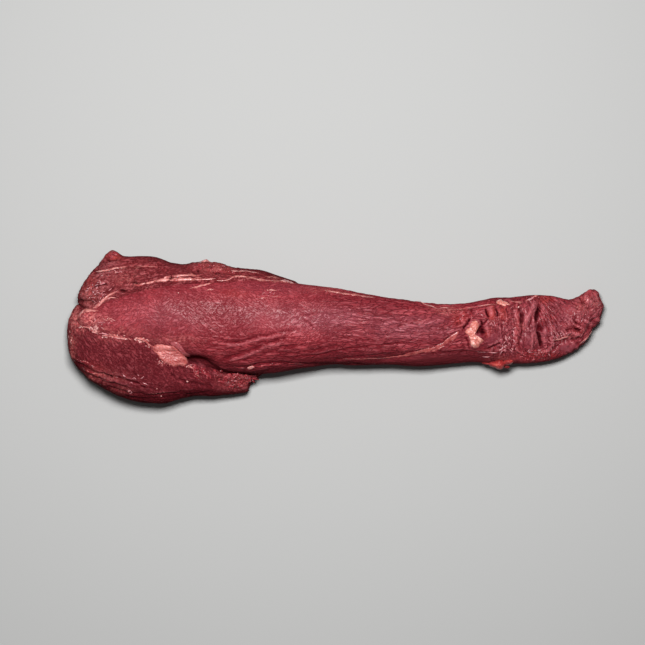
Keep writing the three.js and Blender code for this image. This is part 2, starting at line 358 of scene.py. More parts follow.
FILLET_FOLDS = [
    # name, line in plan, half width, rise
    ("cleft, upper part", [(205, 22), (203, 14), (201.5, 6)], 1.8, -6.5),
    ("cleft's wedge", [(203, 4), (205.5, -1), (209, -6)], 3.0, -5.5),
    ("cleft, lower part", [(203.5, -4), (205.5, -12), (207.5, -20)], 1.7, -6.0),
    ("bulge right of the cleft", [(208, 21), (211.5, 10), (217, 0), (221, -8)], 3.4, 2.0),
    ("rib round the foot of the cleft", [(216, -8), (218, -15), (215, -22), (207, -25.5)], 2.0, 1.7),
    ("ridge left of the cleft", [(202, 27), (197, 18), (192, 9), (189, 1)], 2.7, 2.3),
    ("rib left of the cleft", [(197, -3), (197.5, -14), (196.5, -24)], 1.3, 1.2),
    ("dark side of the ridge", [(193, 0), (196, 4), (198.5, 9)], 1.5, -1.5),
    ("pit by the ridge", [(186.5, 16), (187.5, 9), (188, 2)], 1.8, -2.4),
    ("line of the fold", [(184.5, 20), (185.5, 8), (187, -4), (186, -14)], 1.2, -1.4),
    ("fold before that line", [(180, 20), (181.5, 8), (182, -6), (180.5, -20)], 2.1, 1.2),
    ("fold that crosses it", [(181, -20), (184, -24), (190, -27)], 1.6, 1.2),
    ("slanting fold", [(152, -18), (160, -16), (168, -11)], 1.7, 1.0),
    ("line under the slanting fold", [(153, -20.5), (160, -18.5), (166, -15)], 1.1, -1.6),
    ("line of the wall", [(152, -23), (162, -23), (174, -24)], 1.4, 1.0),
    ("line round the fan", [(221, -22), (226, -17), (233, -12)], 1.5, -1.1),
    ("bulb beside the pocket", [(126, 13), (127, 6), (131, 2)], 2.6, 1.7),
    ("crevice left of the fat", [(136, 8.5), (131.5, 3), (128.5, -3)], 1.2, -2.8),
    ("crevice under the fat", [(131, -10), (133.5, -14), (133, -18), (135, -22)], 1.0, -1.4),
    ("crevice right of the fat", [(146, 8), (147, 3), (144.5, -2), (143, -7)], 1.4, -2.6),
    ("pocket behind the fat", [(148, 2), (147.5, -4), (149.5, -9)], 2.8, -6.5),
    ("crack over the pocket", [(148, 3), (152, 6), (154, 9)], 1.0, -2.2),
    ("lip of the pocket", [(153, 1), (152.5, -4), (154, -9)], 1.7, 1.3),
    ("short fold by the pocket", [(136, 20), (137, 13)], 1.5, -1.6),
    ("first petal past the pocket", [(154, 21), (156.5, 15), (158, 10)], 2.6, 2.1),
    ("left side of the petal", [(151.5, 20), (151, 15), (154, 10)], 1.2, -2.2),
    ("right side of the petal", [(161, 19), (162.5, 14), (162, 10)], 1.1, -2.0),
    ("second petal past the pocket", [(164, 18), (168, 13), (171, 9)], 3.2, 1.2),
    ("under the second petal", [(163, 8), (168, 7), (172, 4)], 1.2, -0.9),
    ("bulb under the petals", [(158, 3), (162, 0), (166, -4)], 2.6, 1.2),
    ("tendon bed", [(50, -31), (75, -28), (95, -22), (112, -15), (122, -7)], 2.8, -1.4),
    ("edge of the side wall", [(30, -33), (56, -32), (90, -27), (112, -25.5), (136, -25), (150, -26)],
     2.2, -1.6),
    ("back edge of the tail", [(86, 22), (106, 20), (125, 18), (145, 21), (163, 24)], 1.8, -1.1),
    ("valley in the tip", [(222, -14), (236, -13), (248, -8), (256, 0), (261, 12)], 2.6, -1.6),
    ("curved ridge of the tip", [(231, -7), (238, -5.5), (246, -8), (250, -4)], 2.0, 1.8),
    ("hollow over the curved ridge", [(232, -2.5), (240, -1.5), (246, -3)], 1.3, -1.1),
    ("slanting ridge of the tip", [(236, 4), (243, 1), (250, -3)], 1.8, 1.2),
    ("dark hollow of the tip", [(240, 7), (242, 4), (243, 1)], 2.0, -1.2),
    ("fold of the tip", [(246, 29), (250, 22), (257, 17)], 2.0, -1.4),
    ("fold by the corner", [(238, 27), (242, 22), (243, 14)], 2.2, -1.2),
    ("ridge by the corner", [(250, 32), (256, 26), (264, 22)], 2.4, 1.2),
    ("fibre fold", [(-112, -14), (-95, -14), (-78, -9.5), (-56, -5), (-38, -3)], 1.7, -1.0),
    ("round fold under it", [(-108, -18), (-90, -17), (-72, -11), (-52, -8)], 2.0, 0.9),
    ("middle fibre fold", [(-111, -31), (-90, -25), (-72, -18), (-58, -13), (-46, -11)], 1.6, -1.2),
    ("round fold below it", [(-104, -33), (-84, -27), (-66, -19), (-52, -15)], 2.0, 1.0),
    ("lower fibre fold", [(-92, -33), (-74, -29), (-60, -23), (-44, -19), (-30, -18)], 1.6, -1.1),
    ("branch of the lower fold", [(-60, -24), (-46, -26), (-30, -25), (-12, -21), (4, -18)], 1.6, -1.1),
    ("long fibre fold", [(-40, -30), (-10, -27), (16, -21), (40, -18), (70, -15)], 1.5, -1.2),
    ("last fibre fold", [(0, -32), (30, -29), (61, -27), (100, -22)], 1.4, -1.1),
    ("pits on the crown", [(-30, 8), (-24, 4), (-20, -1)], 1.3, -1.0),
    ("line by the pits", [(-32, 12), (-24, 13), (-14, 16)], 1.2, -0.8),
    ("fold on the crown", [(60, 2), (90, 0), (118, -2)], 1.8, -0.8),
    ("lip over the crevice", [(-116, -39), (-98, -43), (-80, -43), (-64, -39)], 2.4, 1.8),
    ("line over the side wall", [(-82, -38), (-60, -36), (-30, -37.5), (0, -37), (30, -37)], 1.5, -1.6),
]
FILLET_SWELLINGS = [
    # name, middle, half lengths, rise
    ("flap left of the cleft", (196, -13), (6, 9), 2.2),
    ("end of the fan", (226, -4), (9, 7), 1.0),
    ("lump on the back of the tail", (223, 23.5), (4, 3.5), 1.5),
    ("lobe of the tip's corner", (253, 27), (5, 4), 1.2),
    ("lobe by the valley", (243, -9), (5, 3), 1.2),
    ("tip's corner", (258, 34), (6, 6), 0.8),
    ("tip's far side", (268, 20), (4, 5), 2.0),
    ("tip's lower side", (264, 4), (4, 5), 1.8),
    ("blunt point", (-247, 9), (11, 9), 3.5),
    ("edge over the crevice", (-137, -38), (15, 8), -8.0),
    ("edge past the crevice", (-96, -45), (22, 6), -1.6),
]
SIDE_WALL_TOP = [
    # line in plan where the top turns down into the side wall, below which the wall takes painted shade
    (0, -37), (20, -33), (51, -31.5), (75, -29), (95, -26), (136, -25), (150, -28), (164, -38), (176, -60),
]
TORN_PLACES = [
    # name, middle, half lengths, strength: where the surface is torn to a crust
    ("under the slanting fold", (169, -20), (9, 6), 0.8),
    ("middle of the fibres", (176, 0), (5, 9), 0.4),
    ("below the cleft", (203, -26), (12, 3.5), 0.9),
    ("end of the fan", (229, -4), (10, 7), 0.8),
    ("back of the tail", (216, 22), (10, 5), 0.6),
    ("pocket", (141, 4), (6, 9), 0.4),
    ("second petal", (168, 12), (5, 6), 0.5),
    ("blunt point", (-238, 3), (10, 7), 0.6),
]
SMOOTH_PLACES = [
    # the same: where the skin is whole, and its wrinkles are weak
    ("lower side of the tail", (238, -21), (17, 6.5), 1.0),
    ("side wall of the tail", (196, -33), (44, 5), 0.9),
    ("side wall under the tendon", (110, -33), (60, 5), 0.8),
    ("ridge left of the cleft", (194, 10), (5, 9), 0.6),
    ("patch left of the cleft", (193, -12), (3.5, 8), 0.5),
    ("first petal", (157, 13), (3.5, 7), 0.7),
    ("slanting patch", (158, -11), (7, 6), 0.7),
    ("patch of the tip", (235, 16), (8, 7), 0.9),
    ("middle of the crown", (-69, 10), (26, 14), 0.55),
    ("crown of the head", (-165, 12), (30, 14), 0.25),
]
RAW_PLACES = [
    # the same: where the skin is off, and the meat is a fresher red
    ("first petal", (156.5, 14), (4.5, 7), 1.0),
    ("second petal", (168, 13), (6, 7), 0.8),
    ("lip of the pocket", (152, -5), (4, 5), 0.9),
    ("bulb beside the pocket", (126, 9), (7, 8), 0.6),
    ("before the fold line", (182, 0), (2.5, 22), 0.45),
    ("below the cleft", (205, -27), (12, 3.5), 0.9),
    ("back of the tail", (212, 28), (6.5, 4), 0.8),
    ("tip", (250, 24), (9, 9), 0.35),
    ("lobes of the tip", (243, -4), (9, 7), 0.35),
    ("crown under the strap", (-98, 34), (15, 5), 0.3),
    ("lower side of the crown", (-18, -33), (17, 4), 0.35),
]
DULL_AND_SHADED_PLACES = [
    # the same: where the meat is darker, greyer and drier; in the pocket behind the fat, the cleft's wedge
    # and on the back of the crown this darkening is painted shade
    ("pocket behind the fat", (146, -4), (5, 7), 0.9),
    ("slanting patch", (158, -13), (8, 6), 0.9),
    ("patch left of the cleft", (195, -12), (5, 9), 0.6),
    ("foot of the ridge by the cleft", (198, -2), (5, 5), 0.6),
    ("cleft's wedge", (206, -1), (5, 6), 0.8),
    ("lower side of the tail", (236, -21), (15, 6), 0.35),
    ("back of the crown", (-60, 39), (60, 8), 0.5),
    ("middle of the crown", (-76, 15), (36, 14), 0.3),
    ("end of the crown", (-30, 9), (22, 10), 0.35),
    ("crown of the head", (-165, 10), (28, 14), 0.1),
]
PEARL_AND_SHEEN_PLACES = [
    # the same: where a thin pearly skin lies over the meat, with a painted violet sheen on it
    ("crown of the head", (-175, 10), (50, 18), 0.35),
    ("middle of the crown", (-75, 12), (50, 17), 0.1),
    ("middle of the strip", (42, -4), (16, 7), 0.5),
    ("lower end of the strip", (107, -2), (13, 8), 0.6),
    ("net before the cleft", (177, -22), (7, 6), 0.6),
    ("past the fan", (226, 8), (10, 8), 0.5),
    ("crown of the strip", (0, 8), (60, 13), 0.75),
    ("end of the strip", (70, 0), (55, 13), 0.8),
    ("tip", (252, 20), (16, 15), 0.9),
    ("ridge left of the cleft", (194, 8), (6, 10), 0.7),
    ("ribs of the fan", (213, 2), (9, 16), 0.8),
    ("lower side of the tail", (236, -21), (16, 6), 0.7),
    ("slanting patch", (164, -9), (9, 8), 0.5),
    ("tail", (210, 4), (62, 26), 0.6),
]
FAN_CENTRE = (196, 42)  # the fibres past the cleft spread from here
POCKET_CENTRE = (137, 3)  # and those of the pocket curl round this place
CLEFT_FOOT = (206, -12)  # and the last of the fan's wrap round this one
FAN_ARC = 26  # millimetres of the grain's pattern that a radian of the fan takes up
FAN_START = 199  # place along X from which they are counted, so that the pattern goes on over the cleft
FILLET_SINEW = [
    # name, line in plan, half width
    ("seam with the strap", [(-240, 18), (-233, 23), (-228, 28), (-221, 33), (-212, 37)], 1.5),
    ("start of the pale streak", [(-198, 42), (-190, 42), (-184, 43)], 1.0),
    ("pale streak", [(-186, 42.5), (-177, 45), (-165, 47), (-145, 47.5), (-128, 47.5), (-108, 46)], 1.3),
    ("upper branch", [(-168, 49.5), (-160, 50.5), (-145, 51.5), (-130, 51)], 1.0),
    ("line below the streak", [(-186, 39), (-178, 41.5)], 0.8),
    ("branch off the streak", [(-144, 37), (-132, 41), (-121, 44)], 0.9),
    ("end of the seam", [(-108, 46), (-100, 50), (-92, 50.8), (-78, 48), (-62, 46), (-50, 45), (-40, 43.5)],
     1.0),
    ("bright end of the seam", [(-54, 47), (-46, 45), (-38, 42.5)], 1.3),
    ("rim of the blunt point", [(-234, 16.5), (-243, 16.5), (-249, 14), (-253, 9), (-254, 3), (-249, 0)],
     1.2),
    ("line over the tail", [(86, 26), (96, 21), (104, 19), (116, 19), (126, 18), (139, 20), (163, 24)], 0.4),
    ("second line over the tail", [(173, 26.5), (180, 25), (186, 25), (194, 27.5), (199, 29.5), (204, 32)],
     0.5),
    ("pale line past the cleft", [(220, -13), (226, -12), (232, -10), (237, -9)], 1.1),
    ("rim of the tip", [(250, -16), (256, -11), (260, -6), (264, 0)], 1.3),
    ("edge of the back", [(-9, 37), (6, 34), (16, 33), (30, 31), (41, 31)], 0.8),
]
FILLET_FLUSH = [
    # name, middle, half lengths, strength: where a pink skin shows
    ("blunt point", (-245, 8), (13, 9), 0.85),
    ("seam with the wing", (-222, -6), (28, 6), 0.6),
    ("foot of the ridge by the cleft", (188, 1), (3.5, 4), 0.3),
    ("end of the tail", (260, 26), (12, 10), 0.35),
    ("middle of the tip", (249, 19), (10, 9), 0.25),
    ("over the seam fat", (-158, -13), (24, 5), 0.4),
    ("back of the strip's end", (112, 17), (12, 5), 0.5),
    ("edge of the back", (-12, 37), (18, 3), 0.35),
    ("wall over the tag", (167, -33), (9, 5), 0.35),
]


def rings_about(x, y, middle, width, seed):
    """Creased bundles that curl round a place in plan: bundles of a given width by the distance to it."""
    turned = np.arctan2(x - middle[0], middle[1] - y)
    return creased(np.hypot(x - middle[0], y - middle[1]) / width, 3 * turned, 0, seed)


def fillet_relief(x, y, z, across, up):
    """Named folds and slow swells, and creased bundles of fibres: curled on the crown, lengthwise past the
    middle, aslant on the front flank, over the tail before the cleft, fanned out past it, and curled round
    the pocket of the tail and the foot of the cleft. The torn tail has a rough crust as well, and the tip
    has small lumps. All in millimetres."""
    above = soft_step(up, 0.0, 0.25)
    bend_x = x + 0.9 * grain(x / 7, y / 7, z / 7, 1)
    bend_y = y + 0.9 * grain(x / 7, y / 7, z / 7, 2)
    torn = soft_step(x + 6 * grain(x / 20, y / 9, 0, 3), 122, 150)
    flank = soft_step(-y - 0.06 * x, 4, 22) * soft_step(x, -155, -115)
    fibrous = np.maximum(soft_step(x + 14 * grain(x / 20, across / 9, 0, 12), -30, 20), 0.8 * flank)
    slant = across + 0.28 * np.clip(x, -130, 100)
    aslant = 0.28 * creased(x / 30, slant / 5.2, 0, 6) + 0.25 * creased(x / 13, slant / 2.6, 0, 7)
    led = across + 0.2 * x + 1.6 * grain(x / 13, across / 8, 0, 22)
    lengthwise = 0.45 * creased(x / 13, led / 4.6, 0, 8) + 0.3 * creased(x / 8, led / 2.4, 0, 23)
    curled = 0.14 * creased(x / 4.2, across / 3.0, 0, 13)
    on_crown = fibrous * lengthwise + (1 - fibrous) * curled
    relief = folds(bend_x, bend_y, FILLET_FOLDS) * above
    relief += 1.0 * grain(x / 52, across / 26, 0, 4) + 0.5 * grain(x / 24, across / 13, 0, 5)
    relief += (flank * aslant + (1 - flank) * on_crown) * (1 - 0.8 * torn)

    past = soft_step(x, 202, 210)
    upper = soft_step(up, 0.1, 0.55)
    before = soft_step(x, 152, 166) * (1 - 0.6 * soft_step(x, 182, 187)) * (1 - past) * upper
    ways = x + 1.8 * grain(x / 8, y / 8, 0, 14) + 2.5 * grain(x / 26, y / 15, 0, 24)
    stretched = 0.6 * creased(ways / 6.0, y / 14, z / 14, 15) + 0.85 * creased(ways / 2.7, y / 6, z / 6, 19)
    angle = np.arctan2(x - FAN_CENTRE[0], FAN_CENTRE[1] - y)
    spread = np.hypot(x - FAN_CENTRE[0], y - FAN_CENTRE[1])
    fanned = 0.5 * creased(angle / 0.16, spread / 18, 0, 16)
    fanned += 1.2 * creased(angle / 0.075, spread / 14, 0, 20)
    in_pocket = patches(x, y, [("pocket", (POCKET_CENTRE[0] - 5, POCKET_CENTRE[1] + 5), (13, 12), 1.0)])
    foot = np.hypot(x - CLEFT_FOOT[0], y - CLEFT_FOOT[1])
    at_foot = np.exp(-(((foot - 9) / 4.5) ** 2)) * soft_step(-y, 5, 12) * past * above
    crusty = np.maximum(patches(bend_x, bend_y, TORN_PLACES), 0.5 * soft_step(x + 0.4 * y, 242, 262)) * above
    even = 1 - np.clip(patches(bend_x, bend_y, SMOOTH_PLACES), 0, 1)
    crusty *= even
    crust = 0.5 * grain(x / 5.5, y / 6.5, z / 5.5, 9) + 0.5 * grain(x / 2.7, y / 3.2, z / 2.7, 10)
    crust -= 0.8 * pebbles(x / 4.2, y / 5.2, z / 4.2, 11) - 0.45
    after = past * upper * fanned * (1 - 0.7 * crusty) * (1 - at_foot)
    relief += (before * stretched + after) * (0.15 + 0.85 * even)
    relief += 0.9 * rings_about(x, y, POCKET_CENTRE, 2.9, 17) * in_pocket * (1 - past)
    relief += 1.4 * rings_about(x, y, CLEFT_FOOT, 2.7, 25) * at_foot
    relief += crusty * crust + 0.5 * torn * grain(x / 10, y / 12, z / 12, 21)
    relief += swellings(x, y, FILLET_SWELLINGS) * above
    relief += 0.9 * soft_step(x, 225, 245) * grain(x / 4.6, y / 4.6, z / 6, 26)

    sinew = threads(bend_x, bend_y, FILLET_SINEW)
    painted_wall_shade = soft_step(np.interp(x, *np.array(SIDE_WALL_TOP).T) - bend_y, -1.0, 2.5)
    fields = {
        "sinew": np.where(up > 0.05, sinew, -6.0),
        "flush": patches(bend_x, bend_y, FILLET_FLUSH) * above,
        "fibrous": np.maximum(fibrous, 0.9 * past),
        "torn": crusty,
        "smooth": (1 - even) * above,
        "raw": patches(bend_x, bend_y, RAW_PLACES) * above,
        "dull": patches(bend_x, bend_y, DULL_AND_SHADED_PLACES) * above,
        "pearly": patches(bend_x, bend_y, PEARL_AND_SHEEN_PLACES) * above,
        # Painted light on the tail, the front flank of the head and the back edge past the middle, and
        # painted shade on the side wall below the tendon, as shifts in how far the skin counts as facing the
        # light.
        "painted_light_shift": (
            0.6 * soft_step(x, 165, 200) + 0.5 * soft_step(x, 225, 250)
            + 0.25 * flank * soft_step(-x, 60, 110) + 0.45 * soft_step(y, 8, 20) * soft_step(x, -60, 0)
            - painted_wall_shade * (0.8 - 0.4 * soft_step(x, 140, 190))
        ),
        "turned": soft_step(x + 4 * grain(x / 9, y / 9, 0, 18), 146, 162) * above,
        "fan": (soft_step(x, 201, 207) * above, spread - FAN_CENTRE[1], angle * FAN_ARC + FAN_START),
    }
    return relief + 0.35 * soft_step(sinew, -1, 1) * above, fields


def screen(red, green, blue):
    """A colour given as it looks on a screen, 0 to 255, as the linear shares that a shader takes."""
    c = np.array([red, green, blue]) / 255
    linear = np.where(c <= 0.04045, c / 12.92, ((c + 0.055) / 1.055) ** 2.4)
    return (*linear.tolist(), 1.0)


def plug(node, sockets):
    """Sets a node's inputs to numbers and colours, or links them to the outputs that feed them."""
    for key, value in sockets.items():
        if isinstance(value, bpy.types.NodeSocket):
            node.id_data.links.new(value, node.inputs[key])
        else:
            node.inputs[key].default_value = value


def add(tree, kind, sockets=None, **settings):
    """A shader node of a kind, with its settings made and its inputs plugged. The functions below get the
    tree from a socket that they are given, as its id_data."""
    made = tree.nodes.new(kind)
    for key, value in settings.items():
        setattr(made, key, value)
    plug(made, sockets or {})
    return made


def new_finish(name):
    """A new material, its shader, and the Object coordinates of the piece that it is put on."""
    finish = bpy.data.materials.new(name)
    finish.use_nodes = True
    tree = finish.node_tree
    place = add(tree, "ShaderNodeTexCoord").outputs["Object"]
    return finish, tree.nodes["Principled BSDF"], place


def joined(operation, a, b=0):
    """Two values joined by an operation of the Math node."""
    return add(a.id_data, "ShaderNodeMath", {0: a, 1: b}, operation=operation).outputs[0]


def times(a, b):
    """The product of two values."""
    return joined("MULTIPLY", a, b)


def ramp(value, low, high, start=0.0, end=1.0):
    """value carried from low..high to start..end by the soft curve 3t^2 - 2t^3."""
    spread = {"Value": value, "From Min": low, "From Max": high, "To Min": start, "To Max": end}
    made = add(value.id_data, "ShaderNodeMapRange", spread, interpolation_type="SMOOTHSTEP")
    return made.outputs["Result"]


def over(share, under, top):
    """The colour `top` laid over `under` by a share from 0 to 1."""
    return add(share.id_data, "ShaderNodeMix", {0: share, 6: under, 7: top}, data_type="RGBA").outputs[2]


def layered(colour, layers):
    """A colour with layers laid over it, each a share and the colour of the layer."""
    for share, top in layers:
        colour = over(share, colour, top)
    return colour


def heaped(height, layers):
    """A height with layers added to it, each a pattern times its rise."""
    for pattern, rise in layers:
        height = joined("ADD", height, times(pattern, rise))
    return height


def drawn(noise, width, strength=1.0):
    """The lines where a noise is 0.5: a strength there, down to 0 where it is more than a width away."""
    away = joined("ABSOLUTE", joined("SUBTRACT", noise, 0.5))
    return ramp(away, 0.0, width, strength, 0.0)


def bumped(height, distance, strength=1.0):
    """The way that the surface faces once a pattern raises it, by a distance in metres for a height of 1."""
    sockets = {"Height": height, "Distance": distance, "Strength": strength}
    return add(height.id_data, "ShaderNodeBump", sockets).outputs[0]


def cloud(where, scale, stretch=(1, 1, 1), detail=2.0, rough=0.5, shift=(0, 0, 0), bent=0.0, leaning=0.0):
    """Soft noise, 0 to 1, on coordinates that are first turned by an angle, stretched and shifted, and bent
    by other noise."""
    if leaning:
        turn = {"Vector": where, "Angle": leaning}
        where = add(where.id_data, "ShaderNodeVectorRotate", turn, rotation_type="Z_AXIS").outputs[0]
    placed = add(where.id_data, "ShaderNodeMapping", {"Vector": where, "Scale": stretch, "Location": shift})
    sockets = {"Scale": scale, "Detail": detail, "Roughness": rough, "Distortion": bent}
    return add(where.id_data, "ShaderNodeTexNoise", {"Vector": placed.outputs[0], **sockets}).outputs["Fac"]


FIELDS = (
    "sinew", "flush", "hollow", "sunk", "film", "lit", "fibrous", "torn", "turned", "smooth", "raw", "dull",
    "pearly",
)
PAINTED_CREASE_SHADE = screen(52, 7, 12)  # painted shade at the bottom of deep creases and hollows
# A pearly skin's tint that is also a painted violet sheen.
PEARL_AND_SHEEN = screen(172, 94, 106)
FRESH_CUT = screen(174, 56, 48)
# Darker, greyer meat: drier meat, and painted shade in the pocket, the cleft's wedge and on the back of the
# crown.
DRIED_AND_SHADED = screen(104, 44, 54)
PINK_SKIN = screen(178, 74, 76), screen(214, 123, 119)
SINEW_STREAKS = screen(172, 84, 80), screen(212, 138, 130)


def lean_meat(name, deep, bright, pale, dark, wet, lengthwise, length=1.0, turning=False):
    """Wet raw muscle, from deep red to bright, with paler fibres. Wrinkles a few millimetres apart curl, or
    run along the fibres with cracks between them where it is `fibrous`, and are weak where it is `smooth`.
    The fields lay pearly skin with a painted violet sheen, raw meat, dull meat with some painted shade,
    flushed and torn meat over this, and ragged sinew where `sinew` is above zero. Painted highlights make it
    paler where it stands proud, and painted shade in the colour `dark` darkens it where it lies low
    (`hollow`,
    `sunk`) or faces down or away from the light (`lit`). What is drawn is raised too. A wet film lies where
    `film` is strong, and glints where the meat is torn. With turning, the fibres follow the second map where
    `turned` is strong."""
    finish, shader, place = new_finish(name)
    tree = finish.node_tree
    fibre = add(tree, "ShaderNodeUVMap", uv_map="fibres").outputs["UV"]
    field = {key: add(tree, "ShaderNodeAttribute", attribute_name=key).outputs["Fac"] for key in FIELDS}
    lively = ramp(field["smooth"], 0, 1, 1.0, 0.25)

    def grained(along, across, **more):
        """Noise drawn out along the fibres of the first map, and of the second where they turn."""
        straight = cloud(fibre, 1.0, (along / length, across, 1), **more)
        if not turning:
            return straight
        crossed = add(tree, "ShaderNodeUVMap", uv_map="crossed").outputs["UV"]
        turned = cloud(crossed, 1.0, (2.2 * along, across, 1), **more)
        return over(field["turned"], straight, turned)

    broad = cloud(place, 26, detail=3)
    strands = grained(0.06, 0.50, detail=3, rough=0.6)
    slanting = {"stretch": (0.17, 0.46, 1), "detail": 1, "bent": 0.8}
    rising = cloud(fibre, 1.0, shift=(9, 4, 0), leaning=0.6, **slanting)
    falling = cloud(fibre, 1.0, shift=(30, 9, 0), leaning=-0.5, **slanting)
    either = ramp(cloud(place, 45, detail=1, shift=(5, 2, 0)), 0.42, 0.58)
    lines = grained(0.05, 0.27, detail=2, rough=0.6, shift=(3, 8, 0), bent=0.6)
    waves = over(field["fibrous"], over(either, rising, falling), lines)
    wrinkle = times(drawn(waves, 0.06), lively)
    split = grained(0.07, 0.19, detail=2, rough=0.5, shift=(20, 5, 0), bent=0.9, leaning=0.2)
    crack = times(times(drawn(split, 0.048), field["fibrous"]), lively)
    specks = cloud(place, 520, detail=3, rough=0.6)
    ripped = cloud(place, 230, detail=3, rough=0.62, bent=0.9)
    ridges = joined("SUBTRACT", field["torn"], times(drawn(ripped, 0.16), field["torn"]))
    between = times(ramp(strands, 0.54, 0.36), ramp(field["fibrous"], 0, 1, 0.4, 1))
    between = times(between, lively)
    raised = joined("MAXIMUM", field["fibrous"], field["turned"])
    torn_skin = cloud(place, 210, detail=4, rough=0.65, bent=0.8)
    ragged = cloud(fibre, 1.0, (0.16, 0.8, 1), detail=4, rough=0.7)
    edge = heaped(field["sinew"], [(joined("SUBTRACT", ragged, 0.5), 7.0)])

    colour = layered(deep, [
        (ramp(broad, 0.36, 0.62, 0.35, 1.0), bright),
        (times(ramp(specks, 0.44, 0.64), ramp(field["torn"], 0, 1, 0.1, 0.3)), pale),
        (times(between, 1.3 * lengthwise), deep),
        (ramp(strands, 0.52, 0.70, 0, 0.4 * lengthwise), pale),
        (ramp(waves, 0.56, 0.72, 0, 0.35), pale),
        (times(wrinkle, ramp(field["fibrous"], 0, 1, 0.72, 1.0)), deep),
        (crack, deep),
        # pearly skin with a painted violet sheen
        (times(field["pearly"], ramp(waves, 0.34, 0.62, 0.15, 0.6)), PEARL_AND_SHEEN),
        (times(field["raw"], ramp(ripped, 0.3, 0.6, 0.5, 1.0)), FRESH_CUT),
        # drier meat, and painted shade in the pocket, the cleft's wedge and on the back of the crown
        (times(field["dull"], 0.8), DRIED_AND_SHADED),
        # painted highlight where the skin stands proud of the skin round it
        (ramp(field["hollow"], -0.06, -0.5, 0, 0.35), pale),
        (ramp(field["turned"], 0, 1, 0, 0.1), deep),
        (times(ridges, 0.4), pale),
        # painted light on broad rises, and painted shade in broad hollows, where the skin faces down or away
        # from the light, and in creases
        (ramp(field["sunk"], -0.2, -1.6, 0, 0.4), pale),
        (ramp(field["sunk"], 0.1, 1.6, 0, 0.8), dark),
        (ramp(field["sunk"], 1.3, 2.8, 0, 0.85), PAINTED_CREASE_SHADE),
        (ramp(field["lit"], 0.95, 0.1, 0, 0.88), dark),
        (ramp(field["hollow"], 0.05, 0.35, 0, 0.7), deep),
        (ramp(field["hollow"], 0.3, 1.0, 0, 0.92), PAINTED_CREASE_SHADE),
        (times(field["flush"], ramp(torn_skin, 0.36, 0.62, 0.1, 1.2)),
         over(ramp(specks, 0.4, 0.6), *PINK_SKIN)),
        (ramp(edge, 0.0, 0.9, 0, 0.9), over(ramp(strands, 0.35, 0.65), *SINEW_STREAKS)),
    ])

    height = heaped(times(strands, ramp(raised, 0, 1, 0.3 * lengthwise, 1.1 * lengthwise)), [
        (waves, ramp(raised, 0, 1, 0.36, 0.5)), (wrinkle, -0.32), (crack, -0.5), (ridges, 0.55),
    ])
    strength = ramp(joined("MAXIMUM", field["fibrous"], field["torn"]), 0, 1, 0.85, 1.0)
    strength = times(strength, ramp(field["smooth"], 0, 1, 1.0, 0.6))
    speckled = heaped(height, [(specks, ramp(field["torn"], 0, 1, 0.1, 0.25))])

    valleys = joined("MAXIMUM", joined("MAXIMUM", wrinkle, crack), between)
    film = times(field["film"], ramp(valleys, 0, 1, 1.0, 0.4))
    film = times(film, ramp(field["dull"], 0, 1, 1.0, 0.2))
    skinned = ramp(joined("MAXIMUM", field["pearly"], field["turned"]), 0, 1, 0.5, 1)
    sheen = times(ramp(film, 0.0, 1.0, 0.02, 0.32 * wet), skinned)
    ragged_film = joined("MAXIMUM", field["torn"], times(field["turned"], 0.35))
    glint = heaped(ramp(ragged_film, 0.0, 1.0, 0.0, 0.55), [(sheen, 0.45)])
    dryness = ramp(field["film"], 0.0, 0.8, 0.75, 0.52 - 0.12 * wet)
    plug(shader, {
        "Base Color": colour,
        "Roughness": joined("ADD", dryness, ramp(specks, 0.32, 0.68, 0.08, -0.08)),
        "Specular IOR Level": sheen,
        "IOR": 1.45,
        "Normal": bumped(speckled, 0.0016, strength),
        "Subsurface Weight": 0.08,
        "Subsurface Radius": (1.0, 0.25, 0.2),
        "Subsurface Scale": 0.0018,
        "Coat Weight": times(glint, film),
        "Coat Roughness": ramp(ragged_film, 0.0, 1.0, 0.2, 0.11),
        "Coat IOR": 1.38,
        "Coat Normal": bumped(height, 0.0014, strength),
    })
    return finish


fillet, fillet_skin = muscle_piece("fillet", FILLET, fillet_relief)
# The fourth colour of the meat is its painted shade.
fillet.data.materials.append(
    lean_meat("fillet meat", screen(110, 27, 35), screen(152, 53, 60), screen(188, 98, 105),
              screen(92, 30, 36), 1.0, 0.6, turning=True)
)
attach(fillet, "root")
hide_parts("tenderloin")


